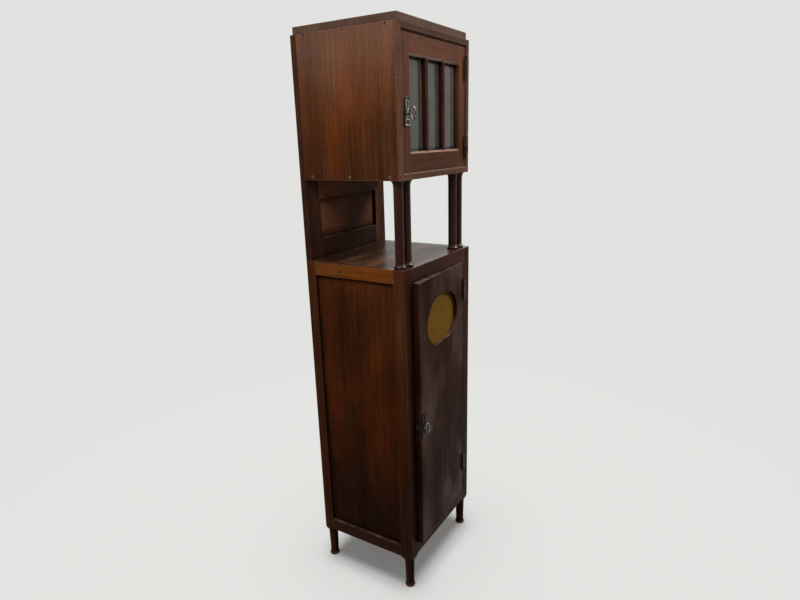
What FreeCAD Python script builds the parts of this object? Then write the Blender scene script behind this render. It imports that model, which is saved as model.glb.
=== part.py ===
import FreeCAD, Part
import math
import os

# A tall cabinet: a closed lower cabinet on turned legs, an open niche with paired columns and
# a glazed upper box. Sizes are in millimetres. While it is built, x runs from the left side,
# y from the front of the lower frame to the back and z up from the floor; every piece is
# moved to the part's own origin when it is written.

# Overall
width = 436.0
depth = 367.0
leg_height = 122.0  # floor to the underside of the lower rails
counter_height = 1120.0  # floor to the top of the counter
niche_height = 253.0  # open bay between the counter and the upper box
box_height = 405.0  # upper box without its cap
edge_round = 1.0  # eased arrises on the woodwork

# Lower frame
post_size = 42.0
rear_post_depth = 35.0  # the rear posts are slimmer from front to back
rail_thickness = 24.0
top_rail_height = 43.0
bottom_rail_height = 41.0
panel_recess = 11.0
panel_thickness = 7.0
groove_depth = 8.0
panel_play = 0.5  # room for a panel to swell in its groove
board_thickness = 18.0  # counter, floor and shelves
shelf_play = 0.5
cleat_size = 14.0
lower_shelf_rise = 477.0  # floor board to the top of the shelf
back_panel_thickness = 6.0
back_panel_inset = 9.0

# Turned legs
leg_diameter = 33.0
leg_waist = 28.5
foot_diameter = 35.0
foot_height = 18.0
foot_round = 4.0
shoulder_drop = 10.0  # how far the square of the post reaches below the rails
shoulder_rise = 16.0
shoulder_fullness = 0.62  # share of the way out, and up, where the shoulder's arc passes
shoulder_lift = 0.28

# Back frame that stands on the counter and carries the upper box
back_thickness = 21.0
back_stile_width = 58.0
niche_bottom_rail_height = 65.0
niche_top_rail_drop = 63.0  # the part of the middle rail seen below the box
back_top_rail_height = 60.0
back_groove_wall = 4.0  # wood left behind the groove
back_tongue = 5.0
field_bevel = 24.0
field_rise = 6.0

# Columns
column_side_margin = 6.5  # side of the cabinet to the first column's base
column_front_margin = 11.5  # front of the counter to the columns' bases
column_gap = 1.0  # between the bases of a pair
column_diameter = 28.5
column_base_diameter = 39.0
column_base_height = 9.0
column_base_cove = 17.0
column_capital_diameter = 39.0
column_capital_cove = 20.0
column_capital_edge = 3.0
cove_hollow = 0.27  # share of the flare left where a cove's arc passes
cove_reach = 0.4  # share of a cove's height between the wide end and that point

# Upper box
box_setback = 5.0
box_board = 20.0
facing_thickness = 8.0
facing_bevel = 4.0
cap_thickness = 22.0
cap_inset = 6.0
cap_rear_inset = 3.0
cap_corner = 6.0
cap_edge = 2.5
upper_shelf_rise = 182.0  # bottom board to the top of the shelf

# Upper door
upper_door_recess = 4.0
upper_door_thickness = 24.0
upper_door_gap = 1.5
upper_door_top_gap = 2.5
upper_stile_width = 46.0
upper_rail_width = 55.0
sticking = 5.0  # chamfer round the glazed opening
pane_count = 3
glazing_bar_width = 12.0
glazing_bar_tongue = 4.0
glazing_bar_recess = 1.0
glass_bead = 3.5  # depth of the beads that hold the panes from behind
glass_thickness = 3.5
glass_field = 1.2  # how far the middle of a pane stands proud of its bevelled border
glass_bevel = 9.0
glass_rebate = 8.0
glass_play = 0.3

# Lower door, which stands a little open at rest
lower_door_angle = 3.4
lower_door_thickness = 20.0
lower_door_gap = 2.5
lower_door_end_gap = 2.0
window_side_margin = 55.0  # edge of the door to the oval
window_half_height = 87.0
window_drop = 153.0  # top of the door to the middle of the oval
window_sill_drop = 78.0  # middle of the oval down to its flat sill
window_wall = 11.0  # wood in front of the recess that takes the mesh
mesh_lap = 14.0
mesh_play = 0.3
mesh_thickness = 1.2
batten_setback = 1.0  # how far the battens stand back from the oval

# Door stops
stop_size = 10.0
stop_play = 0.3

# Hinges: two knuckles on a fixed pin, with a pointed finial at each end
hinge_gap = 2.5
leaf_split = 0.1
leaf_depth = 14.0
knuckle_radius = 4.5
knuckle_length = 29.0
knuckle_clearance = 0.3
knuckle_split = 0.1
pin_radius = 2.0
pin_end_wall = 5.0  # metal left above the pin's bore
pin_clearance = 0.05
finial_length = 13.0
finial_neck = 2.4
finial_bulb = 3.4
finial_tip = 1.9  # radius where the bulb turns into the point
upper_hinge_inset = 61.0
lower_hinge_top_inset = 99.0
lower_hinge_bottom_inset = 125.0

# Locks
lock_case_height = 60.0
lock_case_depth = 13.0
lock_case_tail = 12.0  # key axis to the inner end of the case
lock_wall = 1.5
lock_running_gap = 0.3
bolt_height = 14.0
bolt_length = 22.0
bolt_throw = 8.0
bolt_mortise_play = 1.0
lock_margin = 1.5  # upper lock case to the glass rebate
upper_key_drop = 24.0  # middle of the door down to the key
upper_key_standoff = 20.0  # face of the door to the middle of the bow
lower_backset = 15.0
lower_key_drop = 20.0
lower_key_standoff = 15.0

# Lock plates and keys
plate_width = 25.0
plate_height = 78.0
plate_below_key = 34.0
plate_thickness = 3.0
plate_arch = 5.0
plate_rim = 2.2
plate_sink = 1.0
key_radius = 3.0
key_bit_length = 9.0
key_bit_thickness = 2.4
key_bit_width = 4.0
key_collar_radius = 4.4
key_collar_width = 3.0
key_collar_gap = 0.6
bow_half_height = 19.0
bow_half_depth = 9.0
bow_ring = 3.6
bow_thickness = 4.2
bow_round = 1.2

# Screws in the sides of the upper box and in the counter rails
screw_head_radius = 4.2
screw_head_height = 3.0
screw_radius = 2.0
screw_length = 36.0
screw_margin = 29.0
screw_top_drop = 6.0  # top of the box to the upper row
screw_sink_top = 2.5
screw_sink_bottom = 0.4
screw_slot = 1.0
screw_slot_depth = 0.8
rail_screw_place = 132.0  # back of the cabinet to the screw in each counter rail

# Levels and places that follow from the sizes above
box_bottom = counter_height + niche_height
box_top = box_bottom + box_height
panel_bottom = leg_height + bottom_rail_height
panel_top = counter_height - top_rail_height
back_front = depth - back_thickness
box_front = box_setback + facing_thickness
panel_inner = panel_recess + panel_thickness
back_tongue_front = depth - back_groove_wall - back_tongue
lower_shelf_top = panel_bottom + lower_shelf_rise
upper_shelf_top = box_bottom + box_board + upper_shelf_rise
column_x = column_side_margin + column_base_diameter / 2
column_y = column_front_margin + column_base_diameter / 2
column_spacing = column_base_diameter + column_gap

upper_x0 = box_board + upper_door_gap
upper_x1 = width - box_board - hinge_gap
upper_y0 = box_setback + upper_door_recess
upper_y1 = upper_y0 + upper_door_thickness
upper_z0 = box_bottom + box_board + upper_door_gap
upper_z1 = box_top - box_board - upper_door_top_gap
upper_axis_x = upper_x1 + hinge_gap / 2
upper_axis_y = box_setback - knuckle_radius - knuckle_clearance
glass_y = upper_y1 - glass_bead - glass_thickness
upper_key_x = upper_x0 + upper_stile_width - glass_rebate - lock_margin - lock_case_tail
upper_key_z = (upper_z0 + upper_z1) / 2 - upper_key_drop

lower_x0 = post_size + lower_door_gap
lower_x1 = width - post_size - hinge_gap
lower_y0 = 0.0
lower_y1 = lower_y0 + lower_door_thickness
lower_z0 = panel_bottom + lower_door_end_gap
lower_z1 = panel_top - lower_door_end_gap
lower_axis_x = lower_x1 + hinge_gap / 2
lower_axis_y = lower_y0 - knuckle_radius - knuckle_clearance
lower_key_x = lower_x0 + lower_backset
lower_key_z = (lower_z0 + lower_z1) / 2 - lower_key_drop
window_x = (lower_x0 + lower_x1) / 2
window_z = lower_z1 - window_drop
window_half_width = window_x - lower_x0 - window_side_margin
mesh_y = lower_y0 + window_wall
batten_width = mesh_lap - batten_setback
pin_length = knuckle_length - pin_end_wall

# The open door's key is the foremost point, and the origin lies halfway from it to the back
open_angle = math.radians(lower_door_angle)
key_reach = lower_key_standoff + bow_half_depth + lower_axis_y
front_reach = (
    (lower_axis_x - lower_key_x) * math.sin(open_angle)
    + key_reach * math.cos(open_angle)
    - lower_axis_y
)
origin_x = width / 2
origin_y = (depth - front_reach) / 2

V = FreeCAD.Vector
up = V(0, 0, 1)
quarter_round = 1 - math.sqrt(0.5)
parallel = 0.999  # cosine above which two directions count as the same


def block(x0, x1, y0, y1, z0, z1):
    return Part.makeBox(x1 - x0, y1 - y0, z1 - z0, V(x0, y0, z0))


def runs_along(edge, direction):
    span = edge.Vertexes[-1].Point.sub(edge.Vertexes[0].Point)
    return abs(span.normalize().dot(direction)) > parallel


def bar(x0, x1, y0, y1, z0, z1):
    # a length of timber with its long arrises eased
    sizes = [x1 - x0, y1 - y0, z1 - z0]
    directions = [V(1, 0, 0), V(0, 1, 0), V(0, 0, 1)]
    length = directions[sizes.index(max(sizes))]
    timber = block(x0, x1, y0, y1, z0, z1)
    return timber.makeFillet(edge_round, [e for e in timber.Edges if runs_along(e, length)])


def eased(shape):
    return shape.makeFillet(edge_round, shape.Edges)


def cut(shape, *tools):
    for tool in tools:
        shape = shape.cut(tool)
    return shape


def rectangle(x0, x1, z0, z1, y):
    corners = [V(x0, y, z0), V(x1, y, z0), V(x1, y, z1), V(x0, y, z1), V(x0, y, z0)]
    return Part.makePolygon(corners)


def sloped(x0, x1, z0, z1, y_wide, y_narrow, inset):
    # a solid that shrinks by the inset on all four sides from one y to the other
    wide = rectangle(x0, x1, z0, z1, y_wide)
    narrow = rectangle(x0 + inset, x1 - inset, z0 + inset, z1 - inset, y_narrow)
    return Part.makeLoft([wide, narrow], True, True)


def turned(x, y, start, steps):
    # a lathe-turned solid: each step is (end,) for a line or (middle, end) for an arc, as (r, z)
    def place(point):
        return V(x + point[0], y, point[1])

    edges = []
    here = start
    for step in steps:
        end = step[-1]
        if len(step) == 2:
            curve = Part.Arc(place(here), place(step[0]), place(end))
        else:
            curve = Part.LineSegment(place(here), place(end))
        edges.append(curve.toShape())
        here = end
    edges.append(Part.LineSegment(place(here), place(start)).toShape())
    return Part.Face(Part.Wire(edges)).revolve(V(x, y, 0), up, 360)


def rod(x, y, z, radius, length, direction):
    return Part.makeCylinder(radius, length, V(x, y, z), direction)


def mirrored(shape):
    # the same piece on the other side of the cabinet
    return shape.mirror(V(width / 2, 0, 0), V(1, 0, 0))


def oval(centre, reach_a, reach_b, thickness):
    # an elliptical disc: its two half axes and its thickness are vectors
    longer, shorter = sorted((reach_a, reach_b), key=lambda reach: -reach.Length)
    curve = Part.Ellipse(centre + longer, centre + shorter, centre)
    return Part.Face(Part.Wire([curve.toShape()])).extrude(thickness)


# Lower frame


def side_groove():
    return block(
        panel_recess,
        panel_inner,
        post_size - groove_depth,
        depth - rear_post_depth + groove_depth,
        panel_bottom - groove_depth,
        panel_top + groove_depth,
    )


def back_groove():
    return block(
        post_size - groove_depth,
        width - post_size + groove_depth,
        depth - back_panel_inset - back_panel_thickness,
        depth - back_panel_inset,
        panel_bottom - groove_depth,
        panel_top + groove_depth,
    )


def turned_leg(x, y, top):
    foot = foot_diameter / 2
    waist = leg_waist / 2
    corner = quarter_round * foot_round
    cove = (waist + (foot - waist) / 4, (foot_round + foot_height) / 2)
    steps = [
        ((foot - foot_round, 0),),
        ((foot - corner, corner), (foot, foot_round)),
        (cove, (waist, foot_height)),
        ((leg_diameter / 2, top),),
        ((0, top),),
    ]
    return turned(x, y, (0, 0), steps)


def left_post(y0, y1):
    # the square of the post is turned away in a rounded shoulder above the round leg
    x = post_size / 2
    y = (y0 + y1) / 2
    low = leg_height - shoulder_drop
    high = low + shoulder_rise
    round_leg = leg_diameter / 2
    corner = math.hypot(post_size, y1 - y0) / 2
    bulge = (round_leg + (corner - round_leg) * shoulder_fullness, low + shoulder_rise * shoulder_lift)
    envelope = turned(
        x,
        y,
        (0, low),
        [
            ((round_leg, low),),
            (bulge, (corner, high)),
            ((corner, counter_height),),
            ((0, counter_height),),
        ],
    )
    square = bar(0, post_size, y0, y1, low, counter_height)
    post = square.common(envelope).fuse(turned_leg(x, y, low)).removeSplitter()
    return cut(post, side_groove(), back_groove())


def side_rail(z0, z1):
    rail = bar(0, rail_thickness, post_size, depth - rear_post_depth, z0, z1)
    return rail.cut(side_groove())


def cross_rail(y0, z0, z1):
    rail = bar(post_size, width - post_size, y0, y0 + rail_thickness, z0, z1)
    return rail.cut(back_groove())


def side_panel():
    return block(
        panel_recess,
        panel_inner,
        post_size - groove_depth + panel_play,
        depth - rear_post_depth + groove_depth - panel_play,
        panel_bottom - groove_depth + panel_play,
        panel_top + groove_depth - panel_play,
    )


def back_panel():
    return block(
        post_size - groove_depth + panel_play,
        width - post_size + groove_depth - panel_play,
        depth - back_panel_inset - back_panel_thickness,
        depth - back_panel_inset,
        panel_bottom - groove_depth + panel_play,
        panel_top + groove_depth - panel_play,
    )


def fitted_board(top):
    # a board between the rails, notched round the four posts
    low = top - board_thickness
    board = block(rail_thickness, width - rail_thickness, rail_thickness, depth - rail_thickness, low, top)
    for x0 in (0, width - post_size):
        for y0, y1 in ((0, post_size), (depth - rear_post_depth, depth)):
            board = board.cut(block(x0, x0 + post_size, y0, y1, low, top))
    return board


def cleat(x0, top, y0, y1):
    return block(x0, x0 + cleat_size, y0, y1, top - cleat_size, top)


def shelf_cleats():
    behind_posts = (post_size, depth - rear_post_depth)
    pieces = [
        cleat(rail_thickness, counter_height - board_thickness, *behind_posts),
        cleat(rail_thickness, panel_bottom - board_thickness, *behind_posts),
        cleat(panel_inner, lower_shelf_top - board_thickness, *behind_posts),
        cleat(box_board, upper_shelf_top - board_thickness, upper_shelf_front(), back_front),
    ]
    return pieces + [mirrored(piece) for piece in pieces]


def lower_shelf():
    shelf = block(
        panel_inner + shelf_play,
        width - panel_inner - shelf_play,
        post_size + shelf_play,
        depth - rear_post_depth - shelf_play,
        lower_shelf_top - board_thickness,
        lower_shelf_top,
    )
    return eased(shelf)


# Back frame and columns


def upper_back_groove(z0, z1):
    return block(
        back_stile_width - groove_depth,
        width - back_stile_width + groove_depth,
        back_tongue_front,
        back_tongue_front + back_tongue,
        z0 - groove_depth,
        z1 + groove_depth,
    )


def upper_tongue_panel(z0, z1):
    return block(
        back_stile_width - groove_depth + panel_play,
        width - back_stile_width + groove_depth - panel_play,
        back_tongue_front,
        back_tongue_front + back_tongue,
        z0 - groove_depth + panel_play,
        z1 + groove_depth - panel_play,
    )


def niche_levels():
    return counter_height + niche_bottom_rail_height, box_bottom - niche_top_rail_drop


def box_levels():
    return box_bottom + box_board, box_top - back_top_rail_height


def back_stile():
    stile = bar(0, back_stile_width, back_front, depth, counter_height, box_top)
    return cut(stile, upper_back_groove(*niche_levels()), upper_back_groove(*box_levels()))


def back_rail(z0, z1):
    rail = bar(back_stile_width, width - back_stile_width, back_front, depth, z0, z1)
    return cut(rail, upper_back_groove(*niche_levels()), upper_back_groove(*box_levels()))


def niche_panel():
    # raised and fielded: the middle stands forward of a bevelled border
    z0, z1 = niche_levels()
    x0 = back_stile_width + panel_play
    field = sloped(
        x0,
        width - x0,
        z0 + panel_play,
        z1 - panel_play,
        back_tongue_front,
        back_tongue_front - field_rise,
        field_bevel,
    )
    return upper_tongue_panel(z0, z1).fuse(field)


def column(x):
    shaft = column_diameter / 2
    base = column_base_diameter / 2
    capital = column_capital_diameter / 2
    foot = counter_height
    ring = foot + column_base_height
    cove_end = ring + column_base_cove
    flare = box_bottom - column_capital_edge
    flare_start = flare - column_capital_cove
    half_ring = column_base_height / 2
    base_neck = base - half_ring
    base_cove = (shaft + (base_neck - shaft) * cove_hollow, ring + column_base_cove * cove_reach)
    capital_cove = (shaft + (capital - shaft) * cove_hollow, flare - column_capital_cove * cove_reach)
    steps = [
        ((base_neck, foot),),
        ((base, foot + half_ring), (base_neck, ring)),
        (base_cove, (shaft, cove_end)),
        ((shaft, flare_start),),
        (capital_cove, (capital, flare)),
        ((capital, box_bottom),),
        ((0, box_bottom),),
    ]
    return turned(x, column_y, (0, foot), steps)


# Upper box


def box_side():
    return bar(0, box_board, box_front, back_front, box_bottom, box_top)


def box_deck(z0):
    return block(box_board, width - box_board, box_front, back_front, z0, z0 + box_board)


def cap_board():
    cap = block(
        cap_inset,
        width - cap_inset,
        box_setback + cap_inset,
        depth - cap_rear_inset,
        box_top,
        box_top + cap_thickness,
    )
    cap = cap.makeFillet(cap_corner, [e for e in cap.Edges if runs_along(e, up)])
    top = box_top + cap_thickness
    rim = [e for e in cap.Edges if e.BoundBox.ZMin > top - edge_round]
    return cap.makeFillet(cap_edge, rim)


def facing_strips():
    # four strips mitred at the corners, bevelled towards the door
    outer = [(0, box_bottom), (width, box_bottom), (width, box_top), (0, box_top)]
    inner = [
        (box_board, box_bottom + box_board),
        (width - box_board, box_bottom + box_board),
        (width - box_board, box_top - box_board),
        (box_board, box_top - box_board),
    ]
    bevel = sloped(
        box_board - facing_bevel,
        width - box_board + facing_bevel,
        box_bottom + box_board - facing_bevel,
        box_top - box_board + facing_bevel,
        box_setback,
        box_setback + facing_bevel,
        facing_bevel,
    )
    strips = []
    for i in range(4):
        j = (i + 1) % 4
        corners = [outer[i], outer[j], inner[j], inner[i], outer[i]]
        outline = Part.makePolygon([V(x, box_setback, z) for x, z in corners])
        strip = Part.Face(outline).extrude(V(0, facing_thickness, 0))
        strips.append(strip.cut(bevel))
    return strips


def upper_shelf_front():
    return upper_y1 + stop_play + stop_size


def upper_shelf():
    shelf = block(
        box_board + shelf_play,
        width - box_board - shelf_play,
        upper_shelf_front() + shelf_play,
        back_front - shelf_play,
        upper_shelf_top - board_thickness,
        upper_shelf_top,
    )
    return eased(shelf)


def door_stops():
    upper = block(
        box_board,
        box_board + stop_size,
        upper_y1 + stop_play,
        upper_y1 + stop_play + stop_size,
        box_bottom + box_board,
        box_top - box_board,
    )
    lower = block(
        post_size,
        post_size + stop_size,
        lower_y1 + stop_play,
        lower_y1 + stop_play + stop_size,
        panel_bottom,
        panel_top,
    )
    return [upper, lower]


# Upper door


def glazed_opening():
    return (
        upper_x0 + upper_stile_width,
        upper_x1 - upper_stile_width,
        upper_z0 + upper_rail_width,
        upper_z1 - upper_rail_width,
    )


def glazing_cuts():
    x0, x1, z0, z1 = glazed_opening()
    rebate = block(
        x0 - glass_rebate, x1 + glass_rebate, glass_y, upper_y1, z0 - glass_rebate, z1 + glass_rebate
    )
    chamfer = sloped(
        x0 - sticking,
        x1 + sticking,
        z0 - sticking,
        z1 + sticking,
        upper_y0,
        upper_y0 + sticking,
        sticking,
    )
    return rebate, chamfer


def upper_stile(x0):
    stile = bar(x0, x0 + upper_stile_width, upper_y0, upper_y1, upper_z0, upper_z1)
    return cut(stile, *glazing_cuts())


def upper_rail(z0):
    x0, x1, _, _ = glazed_opening()
    rail = bar(x0, x1, upper_y0, upper_y1, z0, z0 + upper_rail_width)
    return cut(rail, *glazing_cuts())


def glazing_cells():
    # left and right edges of each pane's space, as seen from the front and behind
    x0, x1, _, _ = glazed_opening()
    bars = pane_count - 1
    pane = (x1 - x0 - bars * glazing_bar_width) / pane_count
    side = (glazing_bar_width - glazing_bar_tongue) / 2
    cells = []
    for i in range(pane_count):
        left = x0 + i * (pane + glazing_bar_width)
        right = left + pane
        behind_left = left - (glass_rebate if i == 0 else side)
        behind_right = right + (glass_rebate if i == bars else side)
        cells.append((left, right, behind_left, behind_right))
    return cells


def glazing_bars():
    _, _, z0, z1 = glazed_opening()
    side = (glazing_bar_width - glazing_bar_tongue) / 2
    bars = []
    for _, right, _, _ in glazing_cells()[:-1]:
        face = bar(right, right + glazing_bar_width, upper_y0 + glazing_bar_recess, glass_y, z0, z1)
        tongue = block(
            right + side,
            right + side + glazing_bar_tongue,
            glass_y,
            upper_y1,
            z0 - glass_rebate,
            z1 + glass_rebate,
        )
        bars.append(face.fuse(tongue))
    return bars


def glass_panes():
    _, _, z0, z1 = glazed_opening()
    panes = []
    for left, right, behind_left, behind_right in glazing_cells():
        body = block(
            behind_left + glass_play,
            behind_right - glass_play,
            glass_y,
            glass_y + glass_thickness,
            z0 - glass_rebate + glass_play,
            z1 + glass_rebate - glass_play,
        )
        field = sloped(
            left + glass_play,
            right - glass_play,
            z0 + glass_play,
            z1 - glass_play,
            glass_y,
            glass_y - glass_field,
            glass_bevel,
        )
        panes.append(body.fuse(field))
    return panes


def glass_beads():
    _, _, z0, z1 = glazed_opening()
    y0 = upper_y1 - glass_bead
    low = z0 - glass_rebate
    high = z1 + glass_rebate
    beads = []
    for left, right, behind_left, behind_right in glazing_cells():
        beads.append(block(behind_left, left, y0, upper_y1, low, high))
        beads.append(block(right, behind_right, y0, upper_y1, low, high))
        beads.append(block(left, right, y0, upper_y1, low, z0))
        beads.append(block(left, right, y0, upper_y1, z1, high))
    return beads


# Lower door


def window():
    # an oval cut off flat at its sill
    disc = oval(
        V(window_x, lower_y0, window_z),
        V(window_half_width, 0, 0),
        V(0, 0, window_half_height),
        V(0, lower_door_thickness, 0),
    )
    below = block(
        window_x - window_half_width,
        window_x + window_half_width,
        lower_y0,
        lower_y1,
        window_z - window_half_height,
        window_z - window_sill_drop,
    )
    return disc.cut(below)


def mesh_bounds():
    return (
        window_x - window_half_width - mesh_lap,
        window_x + window_half_width + mesh_lap,
        window_z - window_sill_drop - mesh_lap,
        window_z + window_half_height + mesh_lap,
    )


def mesh_recess():
    x0, x1, z0, z1 = mesh_bounds()
    return block(x0 - mesh_play, x1 + mesh_play, mesh_y, lower_y1, z0 - mesh_play, z1 + mesh_play)


def lower_door_board():
    board = eased(block(lower_x0, lower_x1, lower_y0, lower_y1, lower_z0, lower_z1))
    return board.cut(window()).cut(mesh_recess())


def door_mesh():
    x0, x1, z0, z1 = mesh_bounds()
    return block(x0, x1, mesh_y, mesh_y + mesh_thickness, z0, z1)


def mesh_battens():
    # four battens over the edges of the mesh, flush with the back of the door
    x0, x1, z0, z1 = mesh_bounds()
    y0 = mesh_y + mesh_thickness
    y1 = lower_y1
    return [
        block(x0, x1, y0, y1, z1 - batten_width, z1),
        block(x0, x1, y0, y1, z0, z0 + batten_width),
        block(x0, x0 + batten_width, y0, y1, z0 + batten_width, z1 - batten_width),
        block(x1 - batten_width, x1, y0, y1, z0 + batten_width, z1 - batten_width),
    ]


# Hinges


def knuckle(x, y, z, way):
    # a barrel half that starts at the split and ends in a turned point
    start = z + way * knuckle_split
    end = z + way * knuckle_length
    third = finial_length / 3
    steps = [
        ((knuckle_radius, start),),
        ((knuckle_radius, end),),
        ((finial_neck, end + way * third / 2),),
        ((finial_bulb, end + way * third), (finial_tip, end + way * third * 2)),
        ((0, end + way * finial_length),),
    ]
    return turned(x, y, (0, start), steps)


def hinge(x, y, z, frame_front, door_front):
    # the frame leaf holds the pin and the lower knuckle, the door leaf turns on it
    clear = y + knuckle_radius + knuckle_clearance
    outer = hinge_gap / 2

    def leaf(x0, x1, front, way):
        start = max(clear, front)
        plate = block(x0, x1, start, start + leaf_depth, z - knuckle_length, z + knuckle_length)
        ends = sorted((z + way * knuckle_split, z + way * knuckle_length))
        tab = block(x0, x1, y, start, *ends)
        return knuckle(x, y, z, way).fuse([tab, plate])

    frame_leaf = leaf(x + leaf_split, x + outer, frame_front, -1)
    pin = rod(x, y, z - knuckle_length / 2, pin_radius, knuckle_length / 2 + pin_length, up)
    door_leaf = leaf(x - outer, x - leaf_split, door_front, 1)
    bore = rod(x, y, z, pin_radius + pin_clearance, pin_length + knuckle_clearance, up)
    return frame_leaf.fuse(pin), door_leaf.cut(bore)


def upper_hinges():
    levels = (upper_z0 + upper_hinge_inset, upper_z1 - upper_hinge_inset)
    return [hinge(upper_axis_x, upper_axis_y, z, box_setback, upper_y0) for z in levels]


def lower_hinges():
    levels = (lower_z0 + lower_hinge_bottom_inset, lower_z1 - lower_hinge_top_inset)
    return [hinge(lower_axis_x, lower_axis_y, z, lower_y0, lower_y0) for z in levels]


# Locks, lock plates and keys


def lock_layers(rear):
    # depths inside the case: the key's bit works in front of the bolt
    front = rear - lock_case_depth + lock_wall
    bit = (front + lock_running_gap, front + lock_running_gap + key_bit_width)
    bolt = (bit[1] + lock_running_gap, rear - lock_wall - lock_running_gap)
    return bit, bolt


def keyhole(x, z, y0, y1):
    play = lock_running_gap
    bore = rod(x, y0, z, key_radius + play, y1 - y0, V(0, 1, 0))
    half = key_bit_thickness / 2 + play
    slot = block(x - half, x + half, y0, y1, z - key_bit_length - play, z)
    return bore.fuse(slot)


def lock_outline(edge, x, z, rear):
    half = lock_case_height / 2
    return edge, x + lock_case_tail, rear - lock_case_depth, rear, z - half, z + half


def lock_case(edge, x, z, rear):
    x0, x1, y0, y1, z0, z1 = lock_outline(edge, x, z, rear)
    wall = lock_wall
    inside = block(x0 + wall, x1 - wall, y0 + wall, y1 - wall, z0 + wall, z1 - wall)
    _, bolt = lock_layers(rear)
    half = bolt_height / 2 + lock_running_gap
    slot = block(
        x0, x0 + wall, bolt[0] - lock_running_gap, bolt[1] + lock_running_gap, z - half, z + half
    )
    return cut(block(x0, x1, y0, y1, z0, z1), inside, slot, keyhole(x, z, y0, y0 + wall))


def lock_bolt(edge, z, rear):
    _, layer = lock_layers(rear)
    half = bolt_height / 2
    return block(edge, edge + bolt_length, *layer, z - half, z + half)


def bolt_mortise(edge, z, rear, gap):
    _, layer = lock_layers(rear)
    half = bolt_height / 2 + bolt_mortise_play
    return block(
        edge - bolt_throw - bolt_mortise_play,
        edge - gap,
        layer[0] - bolt_mortise_play,
        layer[1] + bolt_mortise_play,
        z - half,
        z + half,
    )


def lock_recess(edge, x, z, front, rear):
    return block(*lock_outline(edge, x, z, rear)).fuse(keyhole(x, z, front, rear - lock_case_depth))


def plate_outline(x, z, inset, y, thickness):
    half = plate_width / 2 - inset
    low = z - plate_below_key + inset
    high = z - plate_below_key + plate_height - inset
    shoulder = high - plate_arch
    edges = [
        Part.LineSegment(V(x - half, y, shoulder), V(x - half, y, low)).toShape(),
        Part.LineSegment(V(x - half, y, low), V(x + half, y, low)).toShape(),
        Part.LineSegment(V(x + half, y, low), V(x + half, y, shoulder)).toShape(),
        Part.Arc(V(x + half, y, shoulder), V(x, y, high), V(x - half, y, shoulder)).toShape(),
    ]
    return Part.Face(Part.Wire(edges)).extrude(V(0, thickness, 0))


def lock_plate(x, z, front):
    # a cast plate with a raised rim, a collar round the keyhole and a lozenge above it
    face = front - plate_thickness
    plate = plate_outline(x, z, 0, face, plate_thickness)
    plate = plate.cut(plate_outline(x, z, plate_rim, face, plate_sink))
    collar = rod(x, face, z, plate_width / 4, plate_thickness, V(0, 1, 0))
    middle = z + (plate_height - plate_below_key) / 2 + plate_rim
    half = plate_width / 4
    points = [(half, 0), (0, 2 * half), (-half, 0), (0, -2 * half), (half, 0)]
    lozenge = Part.makePolygon([V(x + px, face, middle + pz) for px, pz in points])
    raised = Part.Face(lozenge).extrude(V(0, plate_thickness, 0))
    return plate.fuse([collar, raised]).removeSplitter().cut(keyhole(x, z, face, front))


def lock_key(x, z, front, rear, standoff):
    # the bow stands upright in front of the plate, the bit hangs down inside the case
    bit_layer, _ = lock_layers(rear)
    middle = front - standoff
    bow = V(x - bow_thickness / 2, middle, z)
    across = V(bow_thickness, 0, 0)
    ring = oval(bow, V(0, bow_half_depth, 0), V(0, 0, bow_half_height), across)
    ring = ring.makeFillet(bow_round, ring.Edges)
    hole = oval(bow, V(0, bow_half_depth - bow_ring, 0), V(0, 0, bow_half_height - bow_ring), across)
    bow_back = middle + bow_half_depth - bow_ring / 2
    shank = rod(x, bow_back, z, key_radius, bit_layer[1] - bow_back, V(0, 1, 0))
    collar_y = front - plate_thickness - key_collar_gap - key_collar_width
    collar = rod(x, collar_y, z, key_collar_radius, key_collar_width, V(0, 1, 0))
    half = key_bit_thickness / 2
    bit = block(x - half, x + half, *bit_layer, z - key_bit_length, z)
    return ring.cut(hole).fuse([shank, collar, bit])


# Screws


def screw(y, z, sink):
    # driven in from the left side, with a slotted head
    along = V(1, 0, 0)
    head = rod(sink, y, z, screw_head_radius, screw_head_height, along)
    shank = rod(sink, y, z, screw_radius, screw_length, along)
    half = screw_slot / 2
    reach = screw_head_radius
    slot = block(sink, sink + screw_slot_depth, y - reach, y + reach, z - half, z + half)
    return head.fuse(shank).cut(slot)


def screw_hole(y, z, sink):
    along = V(1, 0, 0)
    head = rod(0, y, z, screw_head_radius, sink + screw_head_height, along)
    return head.fuse(rod(0, y, z, screw_radius, sink + screw_length, along))


def screw_places():
    ends = (box_front + screw_margin, back_front - screw_margin)
    rows = (ends[0], (ends[0] + ends[1]) / 2, ends[1])
    places = []
    for y in rows:
        places.append((y, box_bottom + box_board / 2, screw_sink_bottom))
        places.append((y, box_top - screw_top_drop, screw_sink_top))
    rail_level = counter_height - board_thickness - cleat_size / 2
    places.append((depth - rail_screw_place, rail_level, screw_sink_bottom))
    return places


# The whole cabinet


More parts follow.
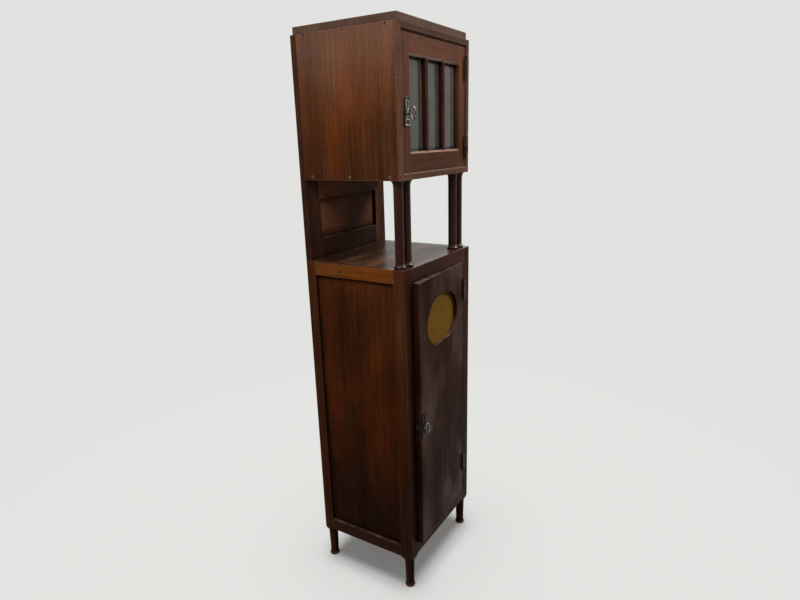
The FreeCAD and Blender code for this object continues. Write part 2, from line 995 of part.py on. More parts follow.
def carcase_pieces():
    front_post = left_post(0, post_size)
    rear_post = left_post(depth - rear_post_depth, depth)
    mortise = bolt_mortise(lower_x0, lower_key_z, lower_y1, lower_door_gap)
    top_rail = side_rail(panel_top, counter_height)
    bottom_rail = side_rail(leg_height, panel_bottom)
    rear_y = depth - rail_thickness
    column_xs = (column_x, column_x + column_spacing)
    side = box_side()
    upper_mortise = bolt_mortise(upper_x0, upper_key_z, upper_y1, upper_door_gap)
    niche_low, niche_high = niche_levels()
    box_low, box_high = box_levels()
    return {
        "front_left_post": front_post.cut(mortise),
        "front_right_post": mirrored(front_post),
        "rear_left_post": rear_post,
        "rear_right_post": mirrored(rear_post),
        "left_top_rail": top_rail,
        "right_top_rail": mirrored(top_rail),
        "left_bottom_rail": bottom_rail,
        "right_bottom_rail": mirrored(bottom_rail),
        "left_side_panel": side_panel(),
        "right_side_panel": mirrored(side_panel()),
        "front_top_rail": cross_rail(0, panel_top, counter_height),
        "front_bottom_rail": cross_rail(0, leg_height, panel_bottom),
        "rear_top_rail": cross_rail(rear_y, panel_top, counter_height),
        "rear_bottom_rail": cross_rail(rear_y, leg_height, panel_bottom),
        "lower_back_panel": back_panel(),
        "floor_board": fitted_board(panel_bottom),
        "counter_top": fitted_board(counter_height),
        "lower_shelf": lower_shelf(),
        "shelf_cleats": shelf_cleats(),
        "left_back_stile": back_stile(),
        "right_back_stile": mirrored(back_stile()),
        "niche_bottom_rail": back_rail(counter_height, niche_low),
        "niche_top_rail": back_rail(niche_high, box_low),
        "back_top_rail": back_rail(box_high, box_top),
        "niche_panel": niche_panel(),
        "upper_back_panel": upper_tongue_panel(box_low, box_high),
        "left_outer_column": column(column_xs[0]),
        "left_inner_column": column(column_xs[1]),
        "right_inner_column": column(width - column_xs[1]),
        "right_outer_column": column(width - column_xs[0]),
        "upper_left_side": side.cut(upper_mortise),
        "upper_right_side": mirrored(side),
        "upper_bottom_board": box_deck(box_bottom),
        "upper_top_board": box_deck(box_top - box_board),
        "cap_board": cap_board(),
        "facing_strips": facing_strips(),
        "upper_shelf": upper_shelf(),
        "door_stops": door_stops(),
        "hinge_frame_leaves": [leaves[0] for leaves in upper_hinges() + lower_hinges()],
    }


def drive_screws(pieces):
    # the screws and the holes they are driven into
    screws = [screw(*place) for place in screw_places()]
    holes = Part.makeCompound([screw_hole(*place) for place in screw_places()])
    for name in ("upper_left_side", "upper_bottom_board", "upper_top_board", "left_top_rail"):
        pieces[name] = pieces[name].cut(holes)
    for name in ("upper_right_side", "upper_bottom_board", "upper_top_board", "right_top_rail"):
        pieces[name] = pieces[name].cut(mirrored(holes))
    cleats = pieces["shelf_cleats"]
    pieces["shelf_cleats"] = [cut(piece, holes, mirrored(holes)) for piece in cleats]
    pieces["box_screws"] = screws + [mirrored(piece) for piece in screws]


def upper_door_pieces():
    lock = (upper_x0, upper_key_x, upper_key_z, upper_y1)
    recess = lock_recess(upper_x0, upper_key_x, upper_key_z, upper_y0, upper_y1)
    return {
        "upper_door_left_stile": upper_stile(upper_x0).cut(recess),
        "upper_door_right_stile": upper_stile(upper_x1 - upper_stile_width),
        "upper_door_top_rail": upper_rail(upper_z1 - upper_rail_width),
        "upper_door_bottom_rail": upper_rail(upper_z0),
        "upper_door_glazing_bars": glazing_bars(),
        "upper_door_panes": glass_panes(),
        "upper_door_glass_beads": glass_beads(),
        "upper_door_hinge_leaves": [leaves[1] for leaves in upper_hinges()],
        "upper_lock_case": lock_case(*lock),
        "upper_lock_plate": lock_plate(upper_key_x, upper_key_z, upper_y0),
        "upper_lock_bolt": lock_bolt(upper_x0, upper_key_z, upper_y1),
        "upper_key": lock_key(upper_key_x, upper_key_z, upper_y0, upper_y1, upper_key_standoff),
    }


def lower_door_pieces():
    lock = (lower_x0, lower_key_x, lower_key_z, lower_y1)
    recess = lock_recess(lower_x0, lower_key_x, lower_key_z, lower_y0, lower_y1)
    closed = {
        "lower_door_board": lower_door_board().cut(recess),
        "lower_door_mesh": door_mesh(),
        "lower_door_battens": mesh_battens(),
        "lower_door_hinge_leaves": [leaves[1] for leaves in lower_hinges()],
        "lower_lock_case": lock_case(*lock),
        "lower_lock_plate": lock_plate(lower_key_x, lower_key_z, lower_y0),
        "lower_lock_bolt": lock_bolt(lower_x0, lower_key_z, lower_y1),
        "lower_key": lock_key(lower_key_x, lower_key_z, lower_y0, lower_y1, lower_key_standoff),
    }
    return {name: opened(piece) for name, piece in closed.items()}


def opened(piece):
    if isinstance(piece, list):
        return [opened(solid) for solid in piece]
    return piece.rotated(V(lower_axis_x, lower_axis_y, 0), up, lower_door_angle)


def build():
    pieces = carcase_pieces()
    drive_screws(pieces)
    pieces.update(upper_door_pieces())
    pieces.update(lower_door_pieces())
    return pieces


def main():
    os.makedirs("parts", exist_ok=True)
    for name, piece in build().items():
        solids = piece if isinstance(piece, list) else piece.Solids
        shape = solids[0] if len(solids) == 1 else Part.makeCompound(solids)
        shape.translate(V(-origin_x, -origin_y, 0))
        shape.exportStep(f"parts/{name}.step")
        state = "ok" if shape.isValid() else "not valid"
        print(name, len(shape.Solids), state, round(shape.Volume / 1000, 1), "cm3")


if __name__ == "__main__":
    main()
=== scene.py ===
import bpy
import bmesh
import math
from mathutils import Matrix, Vector


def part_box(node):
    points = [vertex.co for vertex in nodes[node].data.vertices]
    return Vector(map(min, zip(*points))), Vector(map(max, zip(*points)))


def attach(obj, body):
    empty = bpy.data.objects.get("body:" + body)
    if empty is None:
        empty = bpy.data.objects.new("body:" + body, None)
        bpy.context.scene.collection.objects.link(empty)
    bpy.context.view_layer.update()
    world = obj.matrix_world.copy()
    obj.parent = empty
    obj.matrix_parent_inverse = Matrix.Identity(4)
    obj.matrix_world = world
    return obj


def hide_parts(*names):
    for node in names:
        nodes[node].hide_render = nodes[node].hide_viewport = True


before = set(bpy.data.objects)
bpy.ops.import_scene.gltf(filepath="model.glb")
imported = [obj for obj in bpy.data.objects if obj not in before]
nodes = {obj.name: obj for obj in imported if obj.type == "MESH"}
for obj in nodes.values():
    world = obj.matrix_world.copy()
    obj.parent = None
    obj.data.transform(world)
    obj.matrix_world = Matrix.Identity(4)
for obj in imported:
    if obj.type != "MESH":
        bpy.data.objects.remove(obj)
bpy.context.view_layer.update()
scene = bpy.context.scene
print("frame loaded:", len(nodes), "nodes")

mm = 0.001
weld = 0.002 * mm  # points nearer than this are joined
hair = 0.01 * mm  # slack when edges are picked by their place
fullTurn = math.radians(360)
xAxis, yAxis, zAxis = Vector((1, 0, 0)), Vector((0, 1, 0)), Vector((0, 0, 1))

# camera

photoView = {
    "size": (800, 600),  # pixels
    "place": (-1.599, -0.9956, 1.484),
    "yaw": 57.97,  # degrees from straight ahead towards the right
    "pitch": -16.75,
    "roll": -1.66,
    "focal": 573.6,  # pixels
    "centre": (397.2, 312.1),  # pixel where the optical axis lands
    "sensor": 36.0,
    "nearClip": 0.05,
}


def addCamera(view):
    yaw, pitch, roll = (math.radians(view[key]) for key in ("yaw", "pitch", "roll"))
    ahead = Vector((math.cos(pitch) * math.sin(yaw), math.cos(pitch) * math.cos(yaw), math.sin(pitch)))
    level = Vector((math.cos(yaw), -math.sin(yaw), 0))
    over = level.cross(ahead)
    right = level * math.cos(roll) + over * math.sin(roll)
    top = over * math.cos(roll) - level * math.sin(roll)
    pixelsWide, pixelsHigh = view["size"]
    data = bpy.data.cameras.new("photoCamera")
    data.sensor_fit = "HORIZONTAL"
    data.sensor_width = view["sensor"]
    data.lens = view["focal"] * view["sensor"] / pixelsWide
    data.shift_x = (pixelsWide / 2 - view["centre"][0]) / pixelsWide
    data.shift_y = (view["centre"][1] - pixelsHigh / 2) / pixelsWide
    data.clip_start = view["nearClip"]
    camera = bpy.data.objects.new("photoCamera", data)
    turn = Matrix((right, top, -ahead)).transposed().to_4x4()
    camera.matrix_world = Matrix.Translation(view["place"]) @ turn
    scene.collection.objects.link(camera)
    scene.camera = camera


addCamera(photoView)
print("camera placed")

# small helpers for node trees


def setSockets(node, values):
    for key, value in values.items():
        node.inputs[key].default_value = value


def addNode(tree, kind, inputs=None, **settings):
    node = tree.nodes.new(kind)
    for key, value in settings.items():
        setattr(node, key, value)
    setSockets(node, inputs or {})
    return node


def join(tree, source, target):
    tree.links.new(source, target)


def feed(tree, socket, value):
    if isinstance(value, tuple) and socket.type == "RGBA":
        socket.default_value = (*value, 1)
    elif isinstance(value, (int, float, tuple)):
        socket.default_value = value
    else:
        join(tree, value, socket)


def calc(tree, operation, first, second=0.0, clamp=False):
    node = addNode(tree, "ShaderNodeMath", operation=operation, use_clamp=clamp)
    feed(tree, node.inputs[0], first)
    feed(tree, node.inputs[1], second)
    return node.outputs[0]


def times(tree, first, second, clamp=False):
    return calc(tree, "MULTIPLY", first, second, clamp)


def blendColour(tree, mode, factor, first, second):
    node = addNode(tree, "ShaderNodeMix", data_type="RGBA", blend_type=mode)
    for number, value in ((0, factor), (6, first), (7, second)):
        feed(tree, node.inputs[number], value)
    return node.outputs[2]


def spread(tree, value, low, high, outLow=0.0, outHigh=1.0):
    node = addNode(tree, "ShaderNodeMapRange", interpolation_type="SMOOTHSTEP")
    for key, number in (("From Min", low), ("From Max", high), ("To Min", outLow), ("To Max", outHigh)):
        feed(tree, node.inputs[key], number)
    join(tree, value, node.inputs["Value"])
    return node.outputs[0]


def vectorCalc(tree, operation, *values):
    node = addNode(tree, "ShaderNodeVectorMath", operation=operation)
    for socket, value in zip(node.inputs, values):
        feed(tree, socket, value)
    return node.outputs


noiseLooks = {
    # stretch along z, scale, detail and roughness, then the levels between which it is spread
    "wander": ((0.6, 2.6, 2.0, 0.5), None),
    "bands": ((0.07, 19.0, 2.0, 0.5), (0.25, 0.75)),
    "streaks": ((0.025, 95.0, 4.0, 0.6), (0.22, 0.78)),
    "calm": ((0.22, 13.0, 2.0, 0.5), (0.3, 0.7)),
    "fibres": ((0.02, 520.0, 2.0, 0.5), None),
    "pores": ((0.05, 980.0, 1.0, 0.4), (0.56, 0.70)),
    "scuffs": ((0.03, 430.0, 2.0, 0.5), (0.52, 0.74)),
    "amber": ((0.3, 7.0, 1.5, 0.55), (0.42, 0.70)),
    "rubPatches": ((1, 17.0, 4.0, 0.7), (0.30, 0.66)),
    "rubChips": ((1, 240.0, 2.0, 0.55), (0.30, 0.60)),
    "clouds": ((0.6, 5.0, 3.0, 0.55), (0.34, 0.68)),
    "smears": ((0.45, 46.0, 5.0, 0.7), None),
    "dustPatches": ((1, 30.0, 5.0, 0.65), (0.3, 0.75)),
    "cornerShadePatches": ((1, 26.0, 4.0, 0.6), (0.2, 0.7)),
    "metalStain": ((1, 90.0, 5.0, 0.65), (0.34, 0.66)),
    "metalPits": ((1, 900.0, 2.0, 0.55), (0.45, 0.65)),
    "glassFilm": ((1, 16.0, 5.0, 0.7), (0.35, 0.75)),
    "glassWaves": ((1, 7.0, 1.0, 0.55), None),
}


def noiseNode(tree, vector, name):
    stretch, scale, detail, roughness = noiseLooks[name][0]
    inputs = {"Scale": scale, "Detail": detail, "Roughness": roughness}
    node = addNode(tree, "ShaderNodeTexNoise", inputs)
    drawn = vectorCalc(tree, "MULTIPLY", vector, (1, 1, stretch))["Vector"]
    join(tree, drawn, node.inputs["Vector"])
    return node


def speckle(tree, vector, name, *outRange):
    value = noiseNode(tree, vector, name).outputs["Fac"]
    levels = noiseLooks[name][1]
    return spread(tree, value, *levels, *outRange) if levels else value


def along(tree, vector, axis):
    split = addNode(tree, "ShaderNodeSeparateXYZ")
    join(tree, vector, split.inputs[0])
    return split.outputs[axis]


def heightOf(tree, vector):
    return along(tree, vector, "Z")


def newGroup(name, *values):
    tree = bpy.data.node_groups.new(name, "ShaderNodeTree")
    tree.interface.new_socket(name="Vector", in_out="INPUT", socket_type="NodeSocketVector")
    for label in values:
        tree.interface.new_socket(name=label, in_out="INPUT", socket_type="NodeSocketFloat")
    return tree, tree.nodes.new("NodeGroupInput").outputs


def closeGroup(tree, **results):
    for label in results:
        tree.interface.new_socket(name=label, in_out="OUTPUT", socket_type="NodeSocketFloat")
    end = tree.nodes.new("NodeGroupOutput")
    for label, value in results.items():
        join(tree, value, end.inputs[label])
    return tree


def useGroup(tree, group, vector, **values):
    node = addNode(tree, "ShaderNodeGroup", node_tree=group)
    join(tree, vector, node.inputs["Vector"])
    setSockets(node, values)
    return node.outputs


# effects that several finishes share

grainMix = {
    "seedSteps": (1.37, 2.11, 3.73),  # how far each seed moves the pattern
    "stray": (0.030, 0.030, 0.0),  # how far the grain wanders sideways
    "calmest": 0.2,  # share of the streaks left in the calm places
    "tone": {"bands": 0.20, "streaks": 0.42, "fibres": 0.38},
    "relief": {"streaks": 0.4, "fibres": 0.3, "pores": -0.6},
}


def weighted(tree, layers, weights):
    total = 0.0
    for name, weight in weights.items():
        total = calc(tree, "ADD", total, times(tree, layers[name], weight))
    return total


def aboutHalf(tree, value, factor, clamp=False):
    # flattens or deepens a value about its middle
    gap = times(tree, calc(tree, "SUBTRACT", value, 0.5), factor)
    return calc(tree, "ADD", gap, 0.5, clamp)


def makeBoardGrain():
    # grain runs along z: broad bands, streaks, fibres and short dark pores
    tree, start = newGroup("boardGrain", "Seed", "Figure")
    offset = addNode(tree, "ShaderNodeCombineXYZ")
    for socket, step in zip(offset.inputs, grainMix["seedSteps"]):
        join(tree, times(tree, start["Seed"], step), socket)
    moved = vectorCalc(tree, "ADD", start["Vector"], offset.outputs[0])["Vector"]
    wander = noiseNode(tree, moved, "wander").outputs["Color"]
    grain = vectorCalc(tree, "MULTIPLY_ADD", wander, grainMix["stray"], moved)["Vector"]
    layers = {name: speckle(tree, grain, name) for name in ("bands", "streaks", "fibres", "pores")}
    # the streaks are bold in some places and calm in others
    calm = speckle(tree, grain, "calm", grainMix["calmest"], 1.0)
    layers["streaks"] = aboutHalf(tree, layers["streaks"], calm)
    tone = weighted(tree, layers, grainMix["tone"])
    return closeGroup(
        tree,
        Tone=aboutHalf(tree, tone, start["Figure"], clamp=True),
        Amber=speckle(tree, grain, "amber"),
        Pores=layers["pores"],
        Scuffs=speckle(tree, grain, "scuffs"),
        Height=weighted(tree, layers, grainMix["relief"]),
    )


def makeEdgeRub():
    # a mask along the arrises, broken up so that it never reads as a drawn line
    tree, start = newGroup("edgeRub", "Radius", "Gain")
    rounded = addNode(tree, "ShaderNodeBevel", samples=8)
    join(tree, start["Radius"], rounded.inputs["Radius"])
    plain = addNode(tree, "ShaderNodeNewGeometry").outputs["True Normal"]
    alike = vectorCalc(tree, "DOT_PRODUCT", rounded.outputs[0], plain)["Value"]
    turned = times(tree, calc(tree, "SUBTRACT", 1.0, alike), start["Gain"])
    patches = speckle(tree, start["Vector"], "rubPatches")
    broken = times(tree, patches, speckle(tree, start["Vector"], "rubChips"))
    return closeGroup(tree, Mask=times(tree, turned, broken, clamp=True))


shadeWander = 0.03  # metres by which the clouds move the edge of the shade


def makePolishAndShade():
    # uneven polish: cloudy patches and smears; and Rise, a mask for painted shade and painted sheen that
    # rises between two heights
    tree, start = newGroup("polishAndShade", "Low", "High")
    clouds = speckle(tree, start["Vector"], "clouds")
    wavy = calc(tree, "ADD", heightOf(tree, start["Vector"]), times(tree, clouds, shadeWander))
    return closeGroup(
        tree,
        Clouds=clouds,
        Smears=speckle(tree, start["Vector"], "smears"),
        Rise=spread(tree, wavy, start["Low"], start["High"]),
    )


dustTilt = {"level": (0.35, 0.9), "leaning": (0.10, 0.30)}  # how far up a face has to look


def makeSettledDust():
    # pale dust where a surface faces up, and masks of level tops and of mouldings, which lean up or down
    tree, start = newGroup("settledDust", "Amount")
    upward = heightOf(tree, addNode(tree, "ShaderNodeNewGeometry").outputs["Normal"])
    flat = spread(tree, upward, *dustTilt["level"])
    leaning = calc(tree, "ABSOLUTE", calc(tree, "SUBTRACT", times(tree, upward, upward), 0.5))
    film = times(tree, flat, speckle(tree, start["Vector"], "dustPatches"))
    return closeGroup(
        tree,
        Mask=times(tree, film, start["Amount"], clamp=True),
        Level=flat,
        Moulded=spread(tree, leaning, *dustTilt["leaning"], 1.0, 0.0),
    )


cornerShadeLevels = (0.40, 0.92)  # openness of a corner where the painted shade is full and where it ends
cornerShadeThinnest = 0.7


def makeCornerShade():
    # painted shade: darker in corners and where pieces meet, the more closed the corner the darker
    tree, start = newGroup("cornerShade", "Reach")
    shelter = addNode(tree, "ShaderNodeAmbientOcclusion", samples=6)
    join(tree, start["Reach"], shelter.inputs["Distance"])
    closed = spread(tree, shelter.outputs["AO"], *cornerShadeLevels, 1.0, 0.0)
    patches = speckle(tree, start["Vector"], "cornerShadePatches", cornerShadeThinnest, 1.0)
    return closeGroup(tree, Mask=times(tree, closed, patches, clamp=True))


boardGrain = makeBoardGrain()
edgeRub = makeEdgeRub()
polishAndShade = makePolishAndShade()
settledDust = makeSettledDust()
cornerShade = makeCornerShade()
print("shared effects built")

# finishes

grainTurns = {
    "x": (0.0, math.radians(-90), 0.0),
    "y": (math.radians(90), 0.0, 0.0),
    "z": (0.0, 0.0, 0.0),
}


def newFinish(name):
    material = bpy.data.materials.new(name)
    material.use_nodes = True
    tree = material.node_tree
    shader = tree.nodes["Principled BSDF"]
    place = addNode(tree, "ShaderNodeTexCoord").outputs["Object"]
    return material, tree, shader, place


def toneRamp(tree, value, stops):
    ramp = addNode(tree, "ShaderNodeValToRGB")
    elements = ramp.color_ramp.elements
    while len(elements) < len(stops):
        elements.new(0.5)
    for element, (position, colour) in zip(elements, stops):
        element.position = position
        element.color = (*colour, 1)
    join(tree, value, ramp.inputs[0])
    return ramp.outputs["Color"]


def roughen(tree, shader, height, strength, distance):
    bump = addNode(tree, "ShaderNodeBump", {"Strength": strength, "Distance": distance})
    join(tree, height, bump.inputs["Height"])
    join(tree, bump.outputs[0], shader.inputs["Normal"])


woodLooks = {
    "side": {
        "tones": [(0.056, 0.0155, 0.0056), (0.110, 0.0355, 0.0122), (0.164, 0.0600, 0.0225)],
        "amber": 0.85, "polish": (0.38, 0.58), "specular": 0.03, "figure": 1.4,
        "edges": 0.45, "dust": 0.12, "bloom": 0.08, "scuff": 0.045, "clouds": (0.76, 1.16),
    },
    "rail": {
        "tones": [(0.070, 0.0195, 0.0046), (0.150, 0.0460, 0.0088), (0.225, 0.0840, 0.0185)],
        "amber": 0.4, "polish": (0.36, 0.56), "specular": 0.03, "figure": 1.1,
        "edges": 0.9, "dust": 0.06, "sheen": 0.8, "top": 0.85, "clouds": (0.72, 1.16),
    },
    "panel": {
        "tones": [(0.028, 0.0072, 0.0022), (0.070, 0.0188, 0.0052), (0.124, 0.0390, 0.0115)],
        "amber": 0.8, "polish": (0.38, 0.58), "specular": 0.02, "figure": 1.0,
        "edges": 0.3, "dust": 0.15, "clouds": (0.68, 1.26), "scuff": 0.02,
    },
    "frame": {
        "tones": [(0.019, 0.0060, 0.0033), (0.050, 0.0160, 0.0080), (0.092, 0.0345, 0.0180)],
        "amber": 0.3, "edges": 0.45, "dust": 0.12, "sheen": 0.7, "top": 0.85,
    },
    "ledge": {
        "tones": [(0.019, 0.0060, 0.0033), (0.050, 0.0165, 0.0088), (0.092, 0.0350, 0.0190)],
        "amber": 0.2, "edges": 0.45, "dust": 0.4,
    },
    "stile": {
        "tones": [(0.018, 0.0064, 0.0035), (0.048, 0.0172, 0.0088), (0.088, 0.0350, 0.0190)],
        "amber": 0.2, "figure": 1.0, "edges": 0.4, "dust": 0.2, "scuff": 0.05,
    },
    "post": {
        "tones": [(0.030, 0.0086, 0.0032), (0.081, 0.0240, 0.0079), (0.143, 0.0505, 0.0180)],
        "amber": 0.5, "specular": 0.022, "figure": 1.15,
        # front darkens the forward faces with a painted shadow
        "edges": 0.3, "dust": 0.12, "sheen": 0.7, "top": 0.85, "front": 0.75, "scuff": 0.02, "foot": 0.28,
    },
    "niche": {
        "tones": [(0.057, 0.0215, 0.0110), (0.148, 0.0565, 0.0275), (0.232, 0.0970, 0.0505)],
        "amber": 0.2, "specular": 0.03, "figure": 0.7,
        "edges": 0.5, "dust": 0.3, "sheen": 0.4, "clouds": (0.92, 1.06), "sideLight": (-0.11, 0.15, 1.45, 0.62),
    },
    "upperDoor": {
        "tones": [(0.043, 0.0143, 0.0072), (0.090, 0.0325, 0.0164), (0.148, 0.0610, 0.0325)],
        "amber": 0.25, "polish": (0.32, 0.48), "specular": 0.032, "figure": 1.0,
        "edges": 0.35, "dust": 0.4, "sheen": 0.6, "moulded": 0.6, "scuff": 0.03,
    },
    "bar": {
        "tones": [(0.012, 0.0040, 0.0022), (0.030, 0.0098, 0.0052), (0.058, 0.0200, 0.0110)],
        "amber": 0.3, "polish": (0.30, 0.46), "specular": 0.015, "edges": 0.8, "dust": 0.2,
    },
    "lowerDoor": {
        "tones": [(0.012, 0.0038, 0.0022), (0.030, 0.0098, 0.0054), (0.060, 0.0220, 0.0124)],
        "amber": 0.4, "polish": (0.26, 0.42), "specular": 0.006, "figure": 1.1,
        "edges": 0.35, "dust": 0.45, "sheen": 1.0, "clouds": (0.72, 1.25), "wax": 0.2,
    },
    "facing": {
        "tones": [(0.046, 0.0200, 0.0122), (0.094, 0.0430, 0.0275), (0.150, 0.0760, 0.0500)],
        "amber": 0.15, "polish": (0.34, 0.50), "edges": 0.7, "dust": 0.2, "sheen": 0.3,
    },
    "cap": {
        "tones": [(0.036, 0.0175, 0.0112), (0.074, 0.0370, 0.0236), (0.122, 0.0685, 0.0470)],
        "amber": 0.1, "polish": (0.40, 0.60), "specular": 0.02, "figure": 1.2,
        "edges": 0.7, "dust": 0.3, "bloom": 0.04,
    },
    "column": {
        "tones": [(0.012, 0.0038, 0.0021), (0.032, 0.0100, 0.0055), (0.062, 0.0220, 0.0128)],
        "amber": 0.2, "polish": (0.20, 0.34), "specular": 0.08, "edges": 0.6, "dust": 0.1, "sheen": 1.0,
    },
    "counter": {
        "tones": [(0.009, 0.0032, 0.0016), (0.036, 0.0138, 0.0064), (0.160, 0.0720, 0.0360)],
        "amber": 0.1, "polish": (0.27, 0.33), "specular": 0.18, "figure": 2.3,
        "edges": 0.7, "dust": 0.04, "relief": 0.04,
    },
    "inner": {
        "tones": [(0.045, 0.0190, 0.0090), (0.100, 0.0460, 0.0210), (0.180, 0.0920, 0.0440)],
        "amber": 0.3, "polish": (0.58, 0.75), "specular": 0.15, "edges": 0.3, "dust": 0.15,
    },
}
woodWearAndShade = {
    # what the looks above share, unless they say otherwise
    "polish": (0.34, 0.54),
    "specular": 0.025,
    "figure": 0.9,
    "clouds": (0.82, 1.12),  # darkest and lightest patches
    "relief": 0.35,
    "toneStops": (0.14, 0.50, 0.86),
    "amberTint": (1.42, 1.08, 0.60),
    # colour of rubbed edges and scraped feet, and of the painted highlight on mouldings
    "rubAndHighlightColour": (0.34, 0.205, 0.140),
    "dustColour": (0.36, 0.250, 0.205),
    "bloomColour": (0.42, 0.360, 0.330),  # greyish: painted sheen near the tops, an even dull haze on the cap, and the colour of scuffs
    "topColour": (0.024, 0.0090, 0.0046),  # tops that lie level with the counter
    "bloomFall": 4.0,  # how fast the haze thins out downwards
    "frontTurn": (-0.6, -0.9),  # how squarely a face has to look forward to take the painted shadow
    "footScrape": (0.014, 0.003),  # heights between which the feet are scraped bare
    "rub": {"Radius": 0.0042, "Gain": 5.0},
    # reach and depth of the painted shade in corners
    "cornerShadeReach": 0.022,
    "cornerShadeDepth": 0.75,
    "poreTone": 0.35,  # share of the darkest tone that the pores keep
    "poreDepth": 0.55,
    "poreRough": 0.12,
    "dustRough": 0.2,
    "smears": (0.3, 0.7),
    "waxFall": 2.0,
    "coatRough": 0.24,
    "reliefDepth": 0.0004,
}


def woodFinish(kind, grain, seed, shade):
    look = {**woodWearAndShade, **woodLooks[kind]}
    low, high, kept = shade
    material, tree, shader, place = newFinish(f"{kind}Wood_{grain}_{seed}")
    turn = addNode(tree, "ShaderNodeMapping", {"Rotation": grainTurns[grain]})
    join(tree, place, turn.inputs["Vector"])
    figure = useGroup(tree, boardGrain, turn.outputs[0], Seed=float(seed), Figure=look["figure"])
    rub = useGroup(tree, edgeRub, place, **look["rub"])["Mask"]
    polish = useGroup(tree, polishAndShade, place, Low=low, High=high)
    settled = useGroup(tree, settledDust, place, Amount=look["dust"])
    dust = settled["Mask"]
    cornerDark = useGroup(tree, cornerShade, place, Reach=look["cornerShadeReach"])["Mask"]
    colour = toneRamp(tree, figure["Tone"], list(zip(look["toneStops"], look["tones"])))
    amber = times(tree, figure["Amber"], look["amber"])
    colour = blendColour(tree, "MULTIPLY", amber, colour, look["amberTint"])
    dark = tuple(channel * look["poreTone"] for channel in look["tones"][0])
    colour = blendColour(tree, "MIX", times(tree, figure["Pores"], look["poreDepth"]), colour, dark)
    cloudy = spread(tree, polish["Clouds"], 0.0, 1.0, *look["clouds"])
    # painted shade by height: darker below, down to the share kept, on top of random cloudy patches
    deep = times(tree, cloudy, spread(tree, polish["Rise"], 0.0, 1.0, kept, 1.0))
    deep = times(tree, deep, spread(tree, cornerDark, 0.0, 1.0, 1.0, 1.0 - look["cornerShadeDepth"]))
    if "sideLight" in look:
        # painted light and shade: paler towards the open side on the left, darker towards the right
        deep = times(tree, deep, spread(tree, along(tree, place, "X"), *look["sideLight"]))
    grey = addNode(tree, "ShaderNodeCombineColor")
    for socket in grey.inputs:
        join(tree, deep, socket)
    colour = blendColour(tree, "MULTIPLY", 1.0, colour, grey.outputs[0])
    # painted sheen: a greyish haze, strongest at the top and thinning out downwards; even on pieces without
    # a height shade
    if "bloom" in look:
        haze = times(tree, calc(tree, "POWER", polish["Rise"], look["bloomFall"]), look["bloom"])
        colour = blendColour(tree, "MIX", haze, colour, look["bloomColour"])
    if "front" in look:
        # painted shadow: the forward faces of the posts are darkened, as dark as the door, standing in for
        # the door's shadow
        turned = along(tree, addNode(tree, "ShaderNodeTexCoord").outputs["Normal"], "Y")
        stain = times(tree, spread(tree, turned, *look["frontTurn"]), look["front"])
        colour = blendColour(tree, "MIX", stain, colour, dark)
    covers = [
        (figure["Scuffs"], "scuff", "bloomColour"),
        (settled["Level"], "top", "topColour"),
        # painted highlight: mouldings that lean up or down are lightened
        (settled["Moulded"], "moulded", "rubAndHighlightColour"),
        (rub, "edges", "rubAndHighlightColour"),
    ]
    if "foot" in look:
        covers.append((spread(tree, heightOf(tree, place), *look["footScrape"]), "foot", "rubAndHighlightColour"))
    for mask, share, over in covers:
        if share in look:
            colour = blendColour(tree, "MIX", times(tree, mask, look[share]), colour, look[over])
    colour = blendColour(tree, "MIX", dust, colour, look["dustColour"])
    join(tree, colour, shader.inputs["Base Color"])
    rough = spread(tree, polish["Smears"], *look["smears"], *look["polish"])
    rough = calc(tree, "ADD", rough, times(tree, figure["Pores"], look["poreRough"]))
    rough = calc(tree, "ADD", rough, times(tree, dust, look["dustRough"]), clamp=True)
    join(tree, rough, shader.inputs["Roughness"])
    shader.inputs["Specular IOR Level"].default_value = look["specular"]
    if "sheen" in look:
        # wax builds up, and shines, on faces that look up, and lies uneven on the rest
        coat = times(tree, settled["Level"], look["sheen"])
        if "wax" in look:
            film = times(tree, calc(tree, "POWER", polish["Clouds"], look["waxFall"]), look["wax"])
            coat = calc(tree, "MAXIMUM", coat, film)
        if "moulded" in look:
            coat = calc(tree, "MAXIMUM", coat, times(tree, settled["Moulded"], look["moulded"]))
        join(tree, coat, shader.inputs["Coat Weight"])
        shader.inputs["Coat Roughness"].default_value = look["coatRough"]
    roughen(tree, shader, figure["Height"], look["relief"], look["reliefDepth"])
    return material


metalLooks = {
    "pewter": {"worn": (0.54, 0.51, 0.47), "aged": (0.052, 0.046, 0.040), "polish": (0.26, 0.50)},
    "patina": {"worn": (0.075, 0.064, 0.054), "aged": (0.014, 0.012, 0.010), "polish": (0.40, 0.62)},
    "keyMetal": {"worn": (0.48, 0.45, 0.40), "aged": (0.020, 0.017, 0.014), "polish": (0.24, 0.48)},
    "blackened": {"worn": (0.150, 0.102, 0.080), "aged": (0.045, 0.029, 0.023), "polish": (0.38, 0.60)},
    "lockIron": {"worn": (0.036, 0.027, 0.022), "aged": (0.009, 0.007, 0.006), "polish": (0.40, 0.62)},
    "steel": {"worn": (0.26, 0.24, 0.21), "aged": (0.045, 0.038, 0.032), "polish": (0.32, 0.52)},
    "screw": {
        "worn": (0.25, 0.19, 0.15), "aged": (0.05, 0.035, 0.028), "polish": (0.38, 0.58),
        "stained": (0.030, 0.013, 0.008), "stainedBelow": (1.20, 1.30),  # heads in the lower cabinet
    },
    "gauze": {
        "worn": (0.235, 0.122, 0.0150), "aged": (0.125, 0.061, 0.0068), "polish": (0.42, 0.62),
        "metallic": 0.1, "specular": 0.02,
    },
}
metalWear = {
    # what the looks above share, unless they say otherwise
    "metallic": 1.0,
    "specular": 0.5,
    "rub": {"Radius": 0.0012, "Gain": 4.0},
    "stain": 0.62,  # how bright the cleaner patches get
    "pits": 0.35,
    "relief": (0.18, 0.0002),  # strength, and depth in metres
}


